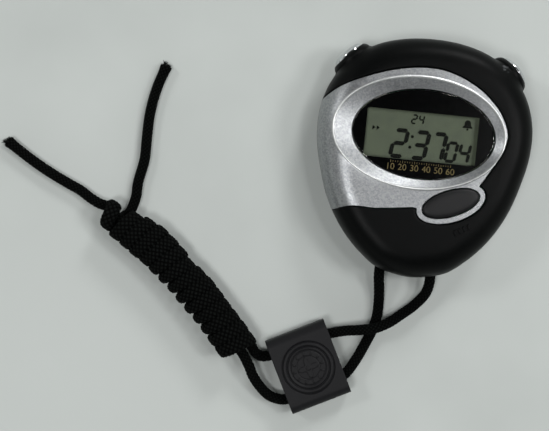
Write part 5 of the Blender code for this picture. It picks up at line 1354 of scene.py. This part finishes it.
# %% Slider sleeve
STRIP = 96  # columns on each of the four sides
SLEEVE_CROWDING = 2.2
RIM_FALL, RIM_WIDTH = 0.14, 0.2  # how the face drops at the two cut ends
corner = np.arctan2(SLIDER_HALF[1], SLIDER_HALF[0])
turns = [-corner, corner, np.pi - corner, np.pi + corner, 2 * np.pi - corner]
angle = np.concatenate([np.linspace(a, b, STRIP, endpoint=False) for a, b in zip(turns[:-1], turns[1:])])
reach = np.minimum(
    *[half / np.maximum(np.abs(part(angle)), 1e-9) for half, part in zip(SLIDER_HALF, (np.cos, np.sin))]
)
medal_rows = np.linspace(0.02, MEDAL, 84)[:, None] * np.ones_like(angle)
radius = np.vstack([medal_rows, MEDAL + (reach - MEDAL) * crowded(25, SLEEVE_CROWDING)[1:]])
along, across = radius * np.cos(angle), radius * np.sin(angle)
over = np.clip(np.abs(across) - (SLIDER_HALF[1] - SLIDER_ROUNDING), 0, SLIDER_ROUNDING)
top = SLIDER_HEIGHT - SLIDER_ROUNDING + np.sqrt(SLIDER_ROUNDING**2 - over**2)
top = top - RIM_FALL * (1 - np.clip((SLIDER_HALF[0] - np.abs(along)) / RIM_WIDTH, 0, 1)) ** 2
under = SLIDER_HEIGHT - top[::-1]
top = top + np.where(radius < MEDAL, medal_relief(radius, angle), 0)
along, across = np.vstack([along, along[::-1]]), np.vstack([across, across[::-1]])
points = placed(*rotated(along, across, SLIDER_ANGLE, SLIDER_CENTRE), np.vstack([top, under]))
keep = np.ones((len(points) - 1, len(angle)), bool)
keep[len(radius) - 1] = (np.arange(len(angle)) // STRIP) % 2 == 1
sleeve = grid_piece(
    "slider_sleeve", points, slider_nylon, "cord_slider", keep=keep, ends=(0, 1)
)
print("slider faces:", len(sleeve.data.polygons))

# %% Channels of the slider
CHANNEL_RADIUS, CHANNEL_FLARE = 2.3, 1.9  # and how much wider the mouths are
CHANNEL_PLACE = (7.5, 3.7)  # across the slider, and over the table
CHANNEL_STRAIGHT, CHANNEL_MOUTH = 4.0, 5.8  # half the narrow stretch, and how long a mouth widens
SKIN, MARGIN = 0.15, 1.12  # how near to the ends, and to a channel's wall, a face has to be to stay


def outside_channels(middles):
    """True off the end faces and the walls of the two channels, in the slider's own axes."""
    along, across = rotated(*(middles[:, :2] - SLIDER_CENTRE).T, -SLIDER_ANGLE)
    wide = CHANNEL_RADIUS + CHANNEL_FLARE * np.clip((np.abs(along) - CHANNEL_STRAIGHT) / CHANNEL_MOUTH, 0, 1)
    beside = (np.abs(across) - CHANNEL_PLACE[0]) / wide
    above = (middles[:, 2] - CHANNEL_PLACE[1]) / CHANNEL_RADIUS
    return (np.abs(along) < SLIDER_HALF[0] - SKIN) & ~(beside**2 + above**2 < MARGIN)


inner = smoothed_copy("cord_slider", slider_nylon, leave=outside_channels)
print("faces of the ends and channels:", len(inner.data.polygons))

# %% [markdown]
# The parts inside are only seen through gaps, but each keeps its own real finish: nylon that shows
# grey and milky, green solder mask over copper, a blob of black epoxy, bare brass, and a zebra
# strip, the silicone connector whose conducting layers are drawn ten times coarser than they are.

# %% Finishes of the inner parts
INNER = (
    ("frame_nylon", "natural_moulded_nylon", ("C9C8BF", "DAD9D1"), (0.45, 0.55), 1.2, 0.01, {"IOR": 1.53}),
    ("board_green", "green_solder_mask", ("16492C", "1E5A38"), (0.25, 0.40), 2.0, 0.01, {"IOR": 1.5}),
    ("epoxy", "poured_black_epoxy", ("0B0B0C", "151516"), (0.20, 0.35), 2.5, 0.05, {"IOR": 1.55}),
    ("brass", "stamped_brass", ("B08A45", "C9A45C"), (0.25, 0.40), 1.0, 0.004, {"Metallic": 1.0}),
    ("lcd_glass", "grey_polariser_film", ("8D9387", "959B8F"), (0.30, 0.38), 4.0, 0.0, {"Alpha": 0.02}),
)
zebra = ("zebra_strip_silicone", ("2A2A2B", "B9B4A8"), (0.55, 0.65), 0.5, 0.002, {"IOR": 1.42})
FINISHES = {slot: grained(*look) for slot, *look in INNER} | {
    "elastomer": grained(*zebra, stretch=(1.0, 40.0, 40.0)),
    "black_abs": abs_black,
    "silver_paint": silver,
    "clear_acrylic": acrylic,
    "black_print": print_black,
    "lcd_green": lcd_green,
    "steel": steel,
    "chrome": chrome,
    "rubber": silicone,
    "slider_plastic": slider_nylon,
    "polyester_cord": braid,
}
for node in frame["nodes"].values():
    slot = node.data.materials[0].name.split(".")[0]
    node.data.materials.clear()
    node.data.materials.append(FINISHES[slot])
print("finished nodes:", len(frame["nodes"]))

# %% [markdown]
# In each top button a thin brass leaf stands on the board and bends when the stem presses it. Here
# each leaf is given a mesh of its own.

# %% Switch leaves
for side, word in BUTTONS:
    leaf = frame["nodes"][word + "_switch_leaf"]
    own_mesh(leaf)
